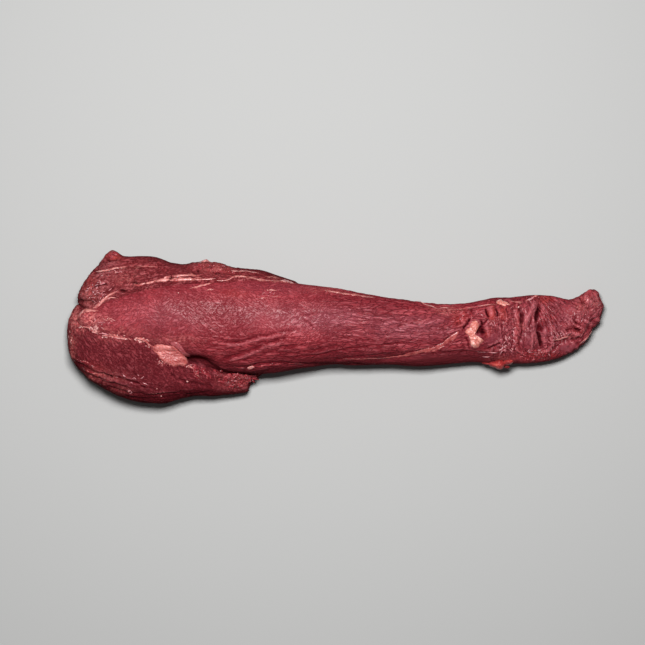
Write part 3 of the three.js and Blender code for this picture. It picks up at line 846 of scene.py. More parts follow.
# The strap is the flat side muscle along the back edge of the head. Sinew ties it to the fillet, and its skin
# is cut away in places, so its left end is rough and its back edge has a corner and a knob.
STRAP = {
    "stations": [
        (-258, 33, 21, 30), (-252, 42, 19, 37), (-244, 54, 15, 42), (-235, 64, 14, 45),
        (-228, 71, 16, 46), (-208, 71, 22, 49), (-180, 70.5, 28, 51), (-164, 65, 33, 51),
        (-150, 63, 36, 51), (-130, 64, 38, 51), (-112, 62.5, 39, 50), (-98, 59.5, 39, 49),
        (-72, 57, 39, 46), (-58, 52.5, 37, 42), (-34, 44, 34, 34),
    ],
    "ends": (5, 6),
    "widest": 0.4,
    "domed": 2.3,
    "seated": 3.0,
    "lean": -0.3,
    "steps": [(-34, 0.8)],
    "round": (126, 40),
}
STRAP_FOLDS = [
    # name, line in plan, half width, rise
    ("sinew ledge", [(-238, 55), (-226, 57), (-215, 59.5), (-175, 60)], 2.2, -1.6),
    ("slit", [(-214, 36), (-207, 36)], 1.5, -3.2),
    ("nick in the streak", [(-162, 51.5), (-161, 49), (-163, 46)], 1.3, -3.5),
    ("nick before the streak", [(-200, 44.5), (-194, 43.5)], 1.3, -2.5),
    ("second nick", [(-177, 46), (-176, 43.5)], 1.0, -2.2),
    ("crease under the corner", [(-228, 68.5), (-223, 67), (-216, 68)], 1.2, -3.5),
    ("step at the shoulder", [(-152, 60), (-140, 57), (-126, 56), (-108, 53)], 2.6, -1.8),
    ("line on the shoulder", [(-90, 53), (-70, 52), (-50, 49)], 1.5, -0.9),
    ("hollow by the notch", [(-257, 26.5), (-250, 25), (-243, 25), (-238, 28)], 2.8, -6.0),
    ("pit before the knob", [(-141, 55.5), (-138.5, 54)], 1.1, -2.6),
    ("pit under the knob", [(-136.5, 59.5), (-134, 57)], 1.2, -2.8),
    ("slit past the knob", [(-119.5, 56), (-116.5, 55.4), (-113, 56.2)], 1.1, -3.2),
    ("hollow on the shoulder", [(-127, 60), (-121, 60.5)], 1.6, -1.4),
    ("first rough fold", [(-244, 38), (-234, 42), (-226, 44)], 1.7, -1.2),
    ("second rough fold", [(-240, 30), (-228, 34), (-218, 40)], 1.7, -1.1),
]
STRAP_SINEW = [
    # name, line in plan, half width
    ("line along the strap", [(-238, 55.5), (-228, 56.5), (-220, 58.5), (-206, 60.6)], 0.6),
    ("fading line", [(-206, 60.5), (-190, 60.5), (-172, 60.5)], 0.3),
    ("seam with the fillet", [(-240, 18), (-233, 23), (-228, 28), (-221, 33), (-212, 37)], 1.5),
    ("pale streak", [(-186, 43), (-177, 45.5), (-165, 47.5), (-145, 48), (-128, 48)], 1.3),
    ("upper branch", [(-168, 49.5), (-160, 50.5), (-145, 51.5), (-130, 51)], 1.0),
    ("short line before the streak", [(-198, 43), (-190, 43)], 1.1),
    ("end of the seam", [(-108, 46), (-100, 50), (-92, 50.8), (-78, 48), (-62, 46), (-50, 45)], 1.0),
    ("line on the shoulder", [(-70, 52), (-60, 50.5), (-50, 49)], 0.9),
]
STRAP_FLUSH = [
    # name, middle, half lengths, strength: where a pink skin shows
    ("knob", (-128, 65), (9, 4), 0.8),
    ("torn shoulder", (-112, 61), (20, 4), 0.3),
    ("left end", (-244, 30), (9, 10), 0.5),
    ("corner", (-222, 73), (8, 4), 0.3),
    ("before the streak", (-205, 50), (12, 9), 0.4),
]
STRAP_RAW = [
    # the same: where the skin is off, and the meat is a fresher red
    ("flap on the corner", (-221, 72.5), (8, 4.5), 1.4),
    ("torn shoulder", (-112, 60), (22, 5), 0.4),
    ("left end", (-243, 42), (9, 13), 0.45),
]
STRAP_SWELLINGS = [
    # name, middle, half lengths, rise
    ("corner", (-222, 76), (8, 7), 5.0),
    ("flap on the corner", (-221.5, 71.5), (6, 2.4), 2.0),
    ("knob", (-129, 67), (5, 6), 3.4),
    ("lump by the knob", (-118, 62), (8, 4), 1.8),
    ("lump before the knob", (-140, 62), (6, 4), 1.4),
]


def strap_relief(x, y, z, across, up):
    """Named folds and swellings, fibre bundles along the strap, and a rough, pebbled left end."""
    above = soft_step(up, 0.0, 0.25)
    bend_x = x + 0.8 * grain(x / 6, y / 6, z / 6, 21)
    bend_y = y + 0.8 * grain(x / 6, y / 6, z / 6, 22)
    rough = soft_step(-x + 5 * grain(x / 12, y / 12, z / 12, 23), 206, 232)
    shoulder = np.exp(-(((x + 118) / 34) ** 2)) * soft_step(y, 50, 60)
    bundles = 0.4 * grain(x / 22, across / 5, 0, 24) + 0.2 * grain(x / 11, across / 2.4, 0, 25)
    crumb = 0.7 * grain(x / 5, y / 4.2, z / 5, 26) + 0.4 * grain(x / 2.5, y / 2.3, z / 2.5, 27)
    relief = folds(bend_x, bend_y, STRAP_FOLDS) * above + bundles + 0.8 * grain(x / 26, across / 14, 0, 28)
    relief += crumb * np.clip(1.4 * rough + 1.1 * shoulder, 0.1, 1.4) + swellings(x, y, STRAP_SWELLINGS)
    sinew = threads(bend_x, bend_y, STRAP_SINEW)
    fields = {
        "sinew": np.where(up > 0.05, sinew, -6.0),
        "flush": patches(bend_x, bend_y, STRAP_FLUSH) * above,
        "fibrous": 0.9 - 0.8 * np.clip(rough + shoulder, 0, 1),
        "torn": 0.9 * np.clip(rough + shoulder, 0, 1),
        "raw": patches(bend_x, bend_y, STRAP_RAW) * above,
        # Painted light on the rough left end, as a shift in how far the skin counts as facing the light.
        "painted_light_shift": 0.25 * rough,
    }
    return relief + 0.3 * soft_step(sinew, -1, 1) * above, fields


strap, strap_skin = muscle_piece("strap", STRAP, strap_relief)
# The fourth colour of the meat is its painted shade.
strap.data.materials.append(
    lean_meat("strap meat", screen(102, 30, 35), screen(139, 54, 58), screen(180, 98, 101),
              screen(84, 22, 27), 0.6, 0.7, length=0.5)
)
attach(strap, "root")
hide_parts("tenderloin")


# The wing is the round lobe in front of the head, cut across its grain: a dark, matt upper face with slanting
# fibres, thin layers that step down to its rim, and a ragged tip that runs out under the fillet.
WING = {
    "stations": [
        (-268, 24, -38, 36), (-256, 23.5, -42, 42), (-244, 19, -53, 46), (-224, 14, -65, 49),
        (-204, 8, -73, 50), (-184, 2, -76, 49), (-169, -3, -76, 47), (-154, -8, -71.5, 44),
        (-139, -13, -68.5, 40), (-119, -20, -69, 35), (-99, -26, -66.5, 30), (-90, -30, -64, 26),
        (-86, -31, -58, 22), (-81, -34, -52.5, 20), (-76, -37, -48.5, 18), (-70, -40, -46, 15),
    ],
    "ends": (14, 4),
    "widest": 0.4,
    "domed": 3.0,
    "seated": 3.0,
    "lean": 0.05,
    "steps": [(-70, 0.8)],
    "round": (170, 50),
}
WING_FOLDS = [
    # name, line in plan, half width, rise
    ("rim of the face", [(-262, -20), (-261, -30), (-252, -34), (-246, -35), (-238, -41), (-231, -45)],
     1.6, 1.0),
    ("crease under the rim", [(-258, -35), (-250, -38), (-240, -44), (-231, -47.5)], 1.2, -1.3),
    ("long crease", [(-232, -46), (-222, -49), (-209, -52), (-198, -55), (-186, -60)], 1.3, -2.0),
    ("ledge under the crease", [(-250, -41), (-241, -46.5), (-229, -50), (-216, -54), (-200, -59)], 1.4, 1.2),
    ("black slit", [(-231, -46), (-226, -47.6), (-220.5, -49.6)], 0.9, -3.6),
    ("second layer", [(-246, -46), (-232, -52.5), (-218, -56.5), (-205, -61)], 1.1, -1.4),
    ("ridge on the second layer", [(-246, -49), (-232, -55.5), (-218, -59.5)], 1.3, 1.0),
    ("third layer", [(-226, -58), (-208, -64.5), (-186, -67), (-168, -66), (-150, -64)], 1.2, -1.6),
    ("ridge on the third layer", [(-190, -66), (-172, -64.5), (-154, -63), (-140, -61)], 1.4, 1.2),
    ("low layer", [(-210, -69), (-190, -71.5), (-168, -70), (-146, -67), (-120, -64)], 1.4, -1.1),
    ("slant", [(-199, -45), (-190, -52), (-182, -61)], 1.8, -1.0),
    ("short slant", [(-214, -36), (-206, -41), (-198, -45)], 1.3, -0.6),
    ("step to the tip", [(-163, -46), (-150, -53), (-138, -57), (-122, -59)], 2.2, -1.5),
    ("trail of the fat", [(-147, -36), (-139, -43), (-131, -51)], 1.3, 0.8),
    ("rise to the fillet", [(-235, -14), (-200, -19), (-178, -24)], 6, 1.2),
    ("hollow under the fillet", [(-150, -27), (-140, -30), (-130, -33), (-121, -38.5)], 3.4, -11),
    ("crack under the fillet", [(-128, -35), (-119, -40.5), (-110, -44.5), (-98, -45.5), (-78, -45)],
     1.5, -2.5),
    ("rise along the crack", [(-124, -46), (-108, -49), (-92, -49.5), (-78, -48)], 3.0, 2.5),
]
WING_SINEW = [
    # name, line in plan, half width
    ("edge of the rim", [(-262, -14), (-263, -22), (-261, -30), (-252, -33.5), (-246, -34.5), (-238, -41)],
     0.1),
    ("ledge", [(-243, -45), (-236, -46), (-228, -50.5)], 0.0),
    ("trail of the fat", [(-146, -37), (-141, -41), (-137, -46), (-131, -53)], 0.6),
    ("seam with the fillet", [(-254, 2), (-248, 1), (-240, -2), (-227, -6), (-213, -10), (-198, -13)], 0.8),
    ("low ridge", [(-185, -66), (-168, -65), (-155, -64)], 0.6),
]
WING_FLUSH = [
    # name, middle, half lengths, strength: where a pink skin shows
    ("beside the blunt point", (-262, 10), (9, 14), 0.8),
    ("left rim", (-262, -10), (5, 14), 0.65),
    ("lower left rim", (-262, -24), (4, 10), 0.5),
    ("seam with the fillet", (-214, -9), (24, 6), 0.3),
    ("under the blunt point", (-253, -3), (7, 6), 0.6),
    ("low layer", (-213, -63), (11, 4), 0.3),
    ("strata", (-232, -50), (22, 7), 0.35),
    ("ragged tip", (-98, -52), (16, 10), 0.15),
]
WING_RAW = [
    # the same: where the skin is off, and the meat is a fresher red
    ("strata", (-246, -43), (16, 7), 0.4),
    ("left rim", (-263, -24), (4, 14), 0.4),
    ("ragged tip", (-94, -53), (16, 9), 0.3),
]
WING_SWELLINGS = [
    # name, middle, half lengths, rise
    ("seat of the blunt point", (-250, 9), (10, 9), -6.0),
    ("ragged corner", (-90, -61), (4, 4), 2.4),
    ("ragged lobe", (-78, -48), (4, 4), 1.0),
]
# Places of painted light and of painted shade: name, middle, half lengths, strength.
WING_PAINTED_LIGHT = [("beside the blunt point", (-262, 8), (12, 20), 0.5)]
WING_PAINTED_SHADE = [
    ("floor of the crevice", (-140, -33), (10, 5), 0.7),
    ("end of the crevice", (-124, -41), (10, 4), 0.4),
]
WING_GRAIN = np.radians(33)  # the fibres of the face slant down to the right


def wing_relief(x, y, z, across, up):
    """Named layers and creases, slanting fibre bundles on the face and a coarse crumb on the ragged tip."""
    above = soft_step(up, 0.0, 0.25)
    bend_x = x + 1.0 * grain(x / 8, y / 8, z / 8, 41)
    bend_y = y + 0.8 * grain(x / 5, y / 5, z / 5, 42)
    along = x * np.cos(WING_GRAIN) - y * np.sin(WING_GRAIN)
    aside = x * np.sin(WING_GRAIN) + y * np.cos(WING_GRAIN)
    tip = soft_step(x + 6 * grain(x / 14, y / 14, z / 14, 43), -122, -100)
    rim = soft_step(-y - 0.25 * x - 0.1 * z, 86, 100)
    bundles = 0.4 * grain(along / 16, aside / 3.6, z / 9, 44)
    bundles += 0.25 * grain(along / 8, aside / 1.9, z / 5, 45)
    layers = 0.5 * creased(x / 26, across / 3.6, 0, 46) + 0.3 * creased(x / 14, across / 2.1, 0, 47)
    crumb = 0.8 * grain(x / 5, y / 5, z / 5, 48) + 0.6 * grain(x / 2.6, y / 2.6, z / 2.6, 49)
    crumb -= 0.7 * pebbles(x / 4.2, y / 4.2, z / 4.2, 50) - 0.4
    relief = folds(bend_x, bend_y, WING_FOLDS) * above + 0.9 * grain(x / 34, y / 26, 0, 51)
    relief += bundles * (1 - rim) + layers * (0.15 + rim) + crumb * np.clip(tip, 0.06, 1)
    relief += swellings(x, y, WING_SWELLINGS)
    sinew = threads(bend_x, bend_y, WING_SINEW)
    fields = {
        "sinew": np.where(up > 0.05, sinew, -6.0),
        "flush": patches(bend_x, bend_y, WING_FLUSH) * above,
        "fibrous": 0.7 - 0.6 * tip,
        "torn": np.clip(tip + 0.2 * rim, 0, 1),
        "raw": patches(bend_x, bend_y, WING_RAW) * above,
        # Painted light on the ragged tip and beside the blunt point, and painted shade on the rim and in the
        # crevice, as shifts in how far the skin counts as facing the light.
        "painted_light_shift": 0.3 * tip - 0.2 * rim + patches(x, y, WING_PAINTED_LIGHT) - patches(x, y, WING_PAINTED_SHADE),
    }
    return relief + 0.3 * soft_step(sinew, -1, 1) * above, fields


wing, wing_skin = muscle_piece("wing", WING, wing_relief, WING_GRAIN)
# The fourth colour of the meat is its painted shade.
wing.data.materials.append(
    lean_meat("wing meat", screen(90, 24, 31), screen(122, 43, 49), screen(156, 74, 81),
              screen(74, 17, 23), 0.35, 0.6, length=0.35)
)
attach(wing, "root")
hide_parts("tenderloin")


# Fat fills the seam between the wing and the fillet, where it bulges out as a lobed, pinkish lump with a
# frayed edge, and a thin sliver of it leads in from the left. It is soft and waxy, and was left on the meat.
SEAM_FAT = [
    # outline in plan
    (-181.5, -19.4), (-173.5, -16.6), (-165.8, -17.8), (-159, -18.6), (-154.2, -22.8), (-151.4, -25.8),
    (-146, -31), (-145, -35.6), (-149.3, -38.8), (-154, -38), (-159, -39.4), (-164, -36.5), (-167.7, -35.6),
    (-171.5, -33.5), (-173, -31), (-175, -27.5), (-177.4, -25.8), (-180, -22.4),
]
SEAM_SLIVER = [
    (-197, -10.8), (-193, -10), (-189, -10.8), (-186, -13), (-183.6, -16.2), (-181, -18.4), (-178.6, -19.4),
    (-179.4, -20.6), (-182.8, -19.4), (-185.8, -16.4), (-188.4, -13.4), (-193.2, -12),
]
SEAM_BULGES = [
    # name, middle, half lengths, rise
    ("lower right lobe", (-154.5, -32.5), (7, 3.2), 1.3),
    ("end of that lobe", (-148, -36), (3, 2.5), 0.8),
    ("upper ridge", (-167.5, -20), (8, 2), 0.9),
    ("valley below the ridge", (-163, -24), (9, 1.6), -0.9),
    ("notch at the lower edge", (-161, -36), (2, 2), -0.7),
]
CELL = 1.5  # width of the cells of the height map


def height_map(skins):
    """The top of the meat: the highest point in each cell of a plan grid. An empty cell takes the highest of
    its neighbours, twice over, and the map is then smoothed once over three cells each way."""
    points = np.concatenate([skin.reshape(-1, 3) for skin in skins])
    corner = points[:, :2].min(axis=0) - 4 * CELL
    place = ((points[:, :2] - corner) / CELL).astype(int)
    top = np.zeros(place.max(axis=0) + 6)
    np.maximum.at(top, (place[:, 0], place[:, 1]), points[:, 2])
    shifts = [(i, j) for i in (-1, 0, 1) for j in (-1, 0, 1)]
    for _ in range(2):
        around = np.max([np.roll(top, shift, axis=(0, 1)) for shift in shifts], axis=0)
        top = np.where(top == 0, around, top)
    return corner, np.mean([np.roll(top, shift, axis=(0, 1)) for shift in shifts], axis=0)


meat_top = height_map([fillet_skin, strap_skin, wing_skin])


def height_at(x, y):
    """The height of the meat at each place in plan, straight between the four cells of the map round it."""
    corner, top = meat_top
    u, v = (x - corner[0]) / CELL - 0.5, (y - corner[1]) / CELL - 0.5
    i = np.clip(u.astype(int), 0, top.shape[0] - 2)
    j = np.clip(v.astype(int), 0, top.shape[1] - 2)
    s, t = u - i, v - j
    low = top[i, j] * (1 - s) + top[i + 1, j] * s
    high = top[i, j + 1] * (1 - s) + top[i + 1, j + 1] * s
    return low * (1 - t) + high * t


def heights_about(x, y, reach):
    """The heights of the meat a reach away from each place: right, left, behind and in front of it."""
    return [height_at(x + dx, y + dy) for dx, dy in ((reach, 0), (-reach, 0), (0, reach), (0, -reach))]


def cushion(outline, rise, sunk, lobes, seed, rows=16, turns=96, bulges=()):
    """A lump seated on the meat inside an outline in plan: rings from the middle of its top out to its edge
    and back underneath. The share s of the way out, it stands `rise` above the meat and is `sunk` in it, both
    times the root of 1 - s^4. Its frayed edge goes down to the lowest meat just round it. Its top bridges
    hollows, and has lobes, given as their width, length and turn in degrees, and named bulges."""
    closed = smooth_line(outline + outline[:3])
    walked = np.concatenate([[0], np.cumsum(np.linalg.norm(np.diff(closed, axis=0), axis=1))])
    from_second = np.linalg.norm(closed - outline[1], axis=1)
    half_way = len(closed) // 2
    start = walked[np.argmin(from_second[:half_way])]
    end = walked[half_way + np.argmin(from_second[half_way:])]
    at = start + np.arange(turns) / turns * (end - start)
    edge = np.stack([np.interp(at, walked, closed[:, k]) for k in (0, 1)], axis=-1)
    middle = edge.mean(axis=0)
    frayed = 1 + 0.07 * grain(edge[:, 0] / 2.2, edge[:, 1] / 2.2, 0, seed)
    edge = middle + (edge - middle) * frayed[:, None]
    out = np.sin(np.linspace(0, np.pi, 2 * rows + 2)[1:-1])[:, None]
    upper = (np.arange(2 * rows) < rows)[:, None]
    x = middle[0] + out * (edge[:, 0] - middle[0])
    y = middle[1] + out * (edge[:, 1] - middle[1])
    seat = height_at(x, y)
    bridged = np.maximum(seat, np.mean(heights_about(x, y, 4), axis=0))
    lowest = np.minimum(seat, np.min(heights_about(x, y, 1.3), axis=0))
    seat = seat + out**8 * (lowest - seat)
    body = np.sqrt(1 - out**4)
    width, length, turned = lobes[0], lobes[1], np.radians(lobes[2])
    u = (x * np.cos(turned) + y * np.sin(turned)) / length
    v = (y * np.cos(turned) - x * np.sin(turned)) / width
    lobed = creased(u, v, 0, seed + 1) + 0.5 * creased(2.3 * u, 2.3 * v, 0, seed + 2)
    raised = rise + (0.3 + 0.2 * rise) * lobed + swellings(x, y, bulges)
    top = seat - 0.5 + body * (bridged - seat + 0.5 + raised)
    return np.stack([x, y, np.where(upper, top, seat - 0.5 - sunk * body)], axis=-1)


def fat_finish(name, deep, body, pale, turned=0.0, length=1.0, fine=1.0):
    """Raw beef fat: waxy and slightly see-through, cream to pink, with redder creases between its lobules,
    which are drawn out by a length in a direction turned by some degrees, and with `fine` redder crumbs."""
    finish, shader, place = new_finish(name)
    lie = {"Vector": place, "Rotation": (0, 0, np.radians(turned)), "Scale": (length, 1, 1)}
    drawn_out = add(place.id_data, "ShaderNodeMapping", lie, vector_type="TEXTURE").outputs[0]
    mottle = cloud(drawn_out, 190, detail=1 + 3 * fine, rough=0.6, bent=0.6)
    crumbs = cloud(place, 560, detail=3, rough=0.6)
    plug(shader, {
        "Base Color": layered(body, [
            (ramp(mottle, 0.36, 0.64), pale),
            (drawn(mottle, 0.05, 0.75), deep),
            (ramp(crumbs, 0.42, 0.30, 0, 0.6 * fine), deep),
        ]),
        "Roughness": 0.42,
        "Normal": bumped(heaped(times(mottle, 0.9), [(crumbs, 0.5 * fine)]), 0.0014),
        "Subsurface Weight": 0.3,
        "Subsurface Radius": (1.0, 0.45, 0.35),
        "Subsurface Scale": 0.002,
        "Coat Weight": 0.25,
        "Coat Roughness": 0.2,
    })
    return finish


seam_fat = closed_mesh("seam_fat", [
    cushion(SEAM_FAT, 2.6, 3.0, (3.0, 9.0, -14), 61, bulges=SEAM_BULGES),
    cushion(SEAM_SLIVER, 0.8, 2.0, (1.6, 2.6, -40), 64, rows=12, turns=84),
])
seam_fat.data.materials.append(
    fat_finish("pink fat", screen(138, 46, 48), screen(170, 77, 75), screen(201, 115, 110), -14, 2.4)
)
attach(seam_fat, "root")
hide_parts("tenderloin")


# A thin flap of the fillet's skin hangs over the upper right side of the seam fat. It is pearly sinew with a
# little red meat under it, cut loose by the knife and still held along its upper edge.
FLAP = [
    # outline in plan
    (-163, -16), (-158.5, -13.8), (-154.5, -14.8), (-151, -18), (-148.6, -22.4), (-145.6, -26.2),
    (-141.4, -28.4), (-143.4, -29.6), (-148.8, -28.8), (-152.6, -24.6), (-156, -20.6), (-160.5, -18.4),
]


def sinew_finish(name, thin, thick, wet):
    """Pearly sinew over red meat: cream where it is thick, pink where it thins, and wet."""
    finish, shader, place = new_finish(name)
    patchy = cloud(place, 150, detail=4, rough=0.65)
    plug(shader, {
        "Base Color": over(ramp(patchy, 0.38, 0.60), thin, thick),
        "Roughness": 0.34,
        "Normal": bumped(patchy, 0.0012),
        "Subsurface Weight": 0.2,
        "Subsurface Radius": (1.0, 0.4, 0.3),
        "Subsurface Scale": 0.0015,
        "Coat Weight": wet,
        "Coat Roughness": 0.15,
    })
    return finish


flap = closed_mesh("thin_flap", [cushion(FLAP, 0.9, 1.0, (2.6, 6.0, -25), 68, rows=12, turns=84)])
flap.data.materials.append(sinew_finish("flap skin", screen(142, 54, 59), screen(176, 90, 95), 0.15))
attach(flap, "root")
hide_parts("tenderloin")


# Two bits of paler fat are left on the tail: one of two lobes in the pocket where the tendon ends, and a flat
# one on the back edge. The knife went round them, so their edges are whole and only dip into the meat.
POCKET_FAT = [
    # outline in plan
    (138, 6.5), (141.5, 6.8), (144.5, 4.5), (144.6, 1), (142.4, -1), (140.6, -4), (140.8, -8), (143.5, -9.6),
    (147, -11), (149, -13), (147.6, -15.6), (145.4, -17), (143.5, -20.4), (139.5, -21.3), (136.4, -19),
    (134.8, -15.5), (135, -11.5), (133.5, -8.5), (130.6, -6), (129.8, -4), (132.5, -1.8), (135, 0.4),
    (136, 4),
]
POCKET_BULGES = [
    # name, middle, half lengths, rise
    ("right lobe", (145.8, -13.4), (2.6, 2.4), 1.0),
    ("lower lobe", (138.8, -17), (3, 2.6), 0.7),
    ("valley between them", (142, -13), (1.4, 3), -0.8),
    ("valley of the neck", (138, -9.4), (3, 1.2), -0.7),
    ("upper lobe", (141.5, 1.5), (3, 3.4), 0.6),
]
EDGE_FAT = [
    (162.2, 26.2), (164, 28), (167.4, 27.8), (168.8, 26.4), (171, 26.2), (173.4, 24.8), (176.6, 22.4),
    (175, 21.6), (172.2, 22.4), (171, 20.6), (168.6, 20.8), (166.4, 21.8), (163.6, 22.6), (161.8, 24.2),
]
tail_fat = closed_mesh("tail_fat", [
    cushion(POCKET_FAT, 2.6, 3.0, (4.0, 5.0, -35), 71, bulges=POCKET_BULGES),
    cushion(EDGE_FAT, 1.8, 2.0, (2.2, 2.6, 0), 74, rows=12, turns=84),
])
tail_fat.data.materials.append(
    fat_finish("pale fat", screen(162, 68, 61), screen(196, 108, 98), screen(224, 153, 142), fine=0.35)
)
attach(tail_fat, "root")
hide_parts("tenderloin")


# Sinew is tough and pearly. A flat cord of it runs along the edge of the side wall and curls up to the tail
# fat, and thin threads of it mark the seams between the muscles and the rims of the cut faces. All of it is
# grown on to the meat, and where it was torn off, short shreds of it are left. Short pale strokes and shreds
# on the wettest places are painted glints, made as thin cords.
SINEWS = [
    # name, line in plan, half widths along it
    ("line along the strap", [(-238, 55.3), (-226.3, 56.6), (-219.8, 58.3), (-205.7, 60.6)], (0.8, 0.8, 1.1)),
    ("its thin end", [(-204, 60.6), (-199, 60.8)], (0.4, 0.3)),
    ("last of that line", [(-196, 60.7), (-188, 60.7), (-176, 60.3)], (0.3, 0.3)),
    ("seam of strap and fillet", [(-240, 18.5), (-232.8, 23), (-228.4, 28), (-222, 32.8), (-214, 36.3)],
     (1.5, 1.5, 1.2, 0.8, 0.4)),
    ("thin end of that seam", [(-229, 27), (-222, 29.5), (-214, 28.5)], (0.5, 0.3)),
    ("knot before the streak", [(-199, 43.5), (-195, 41.5), (-190, 42.5), (-187, 44)], (0.8, 1.5, 0.8)),
    ("short line below it", [(-187, 39), (-178.6, 41.6)], (0.4, 0.5)),
    ("start of the streak", [(-187, 43.2), (-182, 44.4), (-178, 45.2)], (0.7, 1.2, 0.8)),
    ("pale streak", [(-176.5, 45.4), (-170, 46.6), (-163, 47.2)], (1.1, 1.5, 1.1)),
    ("thick of the streak", [(-163, 46.2), (-156, 46.6), (-147, 47.2), (-138, 47.4)], (1.3, 1.7, 1.5, 0.9)),
    ("thin end of the streak", [(-139, 47.3), (-131, 47.3), (-117, 48.3)], (0.9, 0.6, 0.4)),
    ("upper branch of the streak", [(-169, 48), (-166, 50.2), (-162, 50.8)], (1.0, 1.0)),
    ("end of the upper branch", [(-159, 50.6), (-152, 51.3), (-144, 51.3)], (1.1, 0.7, 0.4)),
    ("front branch of the streak", [(-143, 38.5), (-131, 41.5), (-120, 44)], (0.3, 0.7, 0.4)),
    ("boundary of the strap", [(-117, 46.5), (-107.4, 46.3), (-100, 49.5), (-93, 50.5), (-85, 49.5)],
     (0.3, 0.5, 0.3)),
    ("middle of the boundary", [(-80, 48), (-70, 47), (-60, 46.2)], (0.3, 0.4, 0.3)),
    ("bright end of the boundary", [(-54, 47), (-47, 46), (-40, 43.6)], (0.7, 1.2, 0.8)),
    ("inner ring of the blunt point", [(-234.5, 16), (-240, 16.4), (-245.5, 15.8), (-249, 14)],
     (0.4, 1.0, 0.9, 0.4)),
    ("outer ring of the blunt point", [(-246.8, 18), (-250, 15.6), (-253, 12), (-255, 8.8)],
     (0.5, 0.9, 0.8, 0.4)),
    ("lower line of the point", [(-253, 2), (-249, 0.3), (-244, -0.5), (-240, -4), (-234, -7)],
     (0.4, 0.6, 0.7, 0.4)),
    ("seam of wing and fillet", [(-231, -8), (-222, -9), (-213, -11), (-203, -12)], (0.5, 0.7, 0.5)),
    ("rim of the wing", [(-261, -9.5), (-263.2, -17)], (0.9, 0.6)),
    ("edge of the wing's face", [(-263.5, -19), (-261, -29.5), (-252.3, -33.4), (-245.8, -34.5),
                                 (-238.2, -41)], (0.3, 0.5, 0.3)),
    ("layer under the edge", [(-250.1, -40), (-241.5, -46), (-236, -46), (-228.4, -50.5), (-216.5, -54)],
     (0.3, 0.5, 0.3)),
    ("trail of the seam fat", [(-146, -37.5), (-141, -40.5), (-137, -44)], (0.7, 0.5, 0.3)),
    ("line over the tail", [(84, 27), (90, 23.6), (96, 21.4), (102.9, 19.1)], (0.2, 0.45, 0.5, 0.4)),
    ("second part of it", [(105, 19), (110, 19.6), (116, 19)], (0.6, 0.4, 0.2)),
    ("third part of it", [(122, 18), (130, 18.6), (138.5, 20.3)], (0.2, 0.35, 0.2)),
    ("last part of it", [(143, 21.4), (151, 22), (160, 23.4)], (0.2, 0.35, 0.3)),
    ("line past the edge fat", [(177, 26.2), (181, 25.4), (186, 25)], (0.3, 0.5, 0.2)),
    ("upper end of that line", [(198, 29.4), (201, 31), (205, 32)], (0.3, 0.5, 0.3)),
    ("line past the cleft", [(218, -13.5), (225.7, -11.9), (231.5, -10), (237, -9)], (0.2, 0.7, 0.4)),
    ("rim of the tip", [(245, -18), (250, -14), (255, -9.2), (259, -3.6)], (0.5, 0.9, 0.8, 0.3)),
    ("line on the back", [(-9, 36.5), (6, 34), (16, 32.5), (30, 30.5), (41, 29.5)], (0.2, 0.5, 0.3)),
    ("cap of the knob", [(-136, 63.6), (-131, 65.8), (-127.5, 66.8), (-123.5, 64.6)], (0.5, 1.2, 1.3, 0.5)),
    ("ridge over the slit", [(-121, 57.3), (-116, 58), (-110, 57.4)], (0.2, 0.4, 0.2)),
    ("bits past the shoulder", [(-102.5, 56.6), (-99, 55.6), (-96, 56.4)], (0.4, 0.7, 0.3)),
    ("line behind the shoulder", [(-97, 55.6), (-90, 56), (-82, 55.2), (-74, 53.6)], (0.3, 0.4, 0.3)),
    ("stroke on the crown", [(-67, 36.5), (-62, 36.9), (-57, 36.4)], (0.3, 0.6, 0.3)),
    ("second stroke on the crown", [(-62, 30), (-57, 30.8), (-53, 30.6)], (0.2, 0.4, 0.2)),
    ("third stroke on the crown", [(-74, 28.5), (-68, 29.3), (-63, 29)], (0.2, 0.3, 0.2)),
    ("line by the strap", [(-127, 36.5), (-122, 37.6), (-118, 37.4)], (0.2, 0.45, 0.2)),
]


def cord(line, halves, seed, turns=12, proud=0.55):
    """A flat cord draped over the meat: rings along a smooth line in plan, each a flat ellipse that stands
    proud by a share of its half width. The half width goes from one given value to the next, thins out at
    the ends and varies with noise, which bends the line too."""
    path = smooth_line(line, step=1.0)
    along = np.concatenate([[0], np.cumsum(np.linalg.norm(np.diff(path, axis=0), axis=1))])
    way = np.gradient(path, axis=0)
    way /= np.linalg.norm(way, axis=1, keepdims=True)
    side = np.stack([-way[:, 1], way[:, 0]], axis=-1)
    half = np.interp(along / along[-1], np.linspace(0, 1, len(halves)), halves)
    wander = 0.6 * grain(along / 6, 0, 0, seed) + 0.3 * grain(along / 2.3, 0, 0, seed + 1)
    path = path + side * (wander * np.clip(half + 0.3, 0, 0.8))[:, None]
    ended = soft_step(np.minimum(along, along[-1] - along), -1, np.minimum(5, 0.3 * along[-1]))
    varied = 1 + 0.5 * grain(along / 5, 3.5, 0, seed) + 0.4 * grain(along / 1.9, 5.5, 0, seed)
    wide = np.maximum(half * ended * varied, 0.1)[:, None]
    turn = np.arange(turns) / turns * 2 * np.pi
    x = path[:, :1] + side[:, :1] * wide * np.cos(turn)
    y = path[:, 1:] + side[:, 1:] * wide * np.cos(turn)
    thick = np.where(np.sin(turn) > 0, proud * wide, 0.8 + 0.3 * wide)
    return np.stack([x, y, height_at(x, y) + thick * np.sin(turn)], axis=-1)


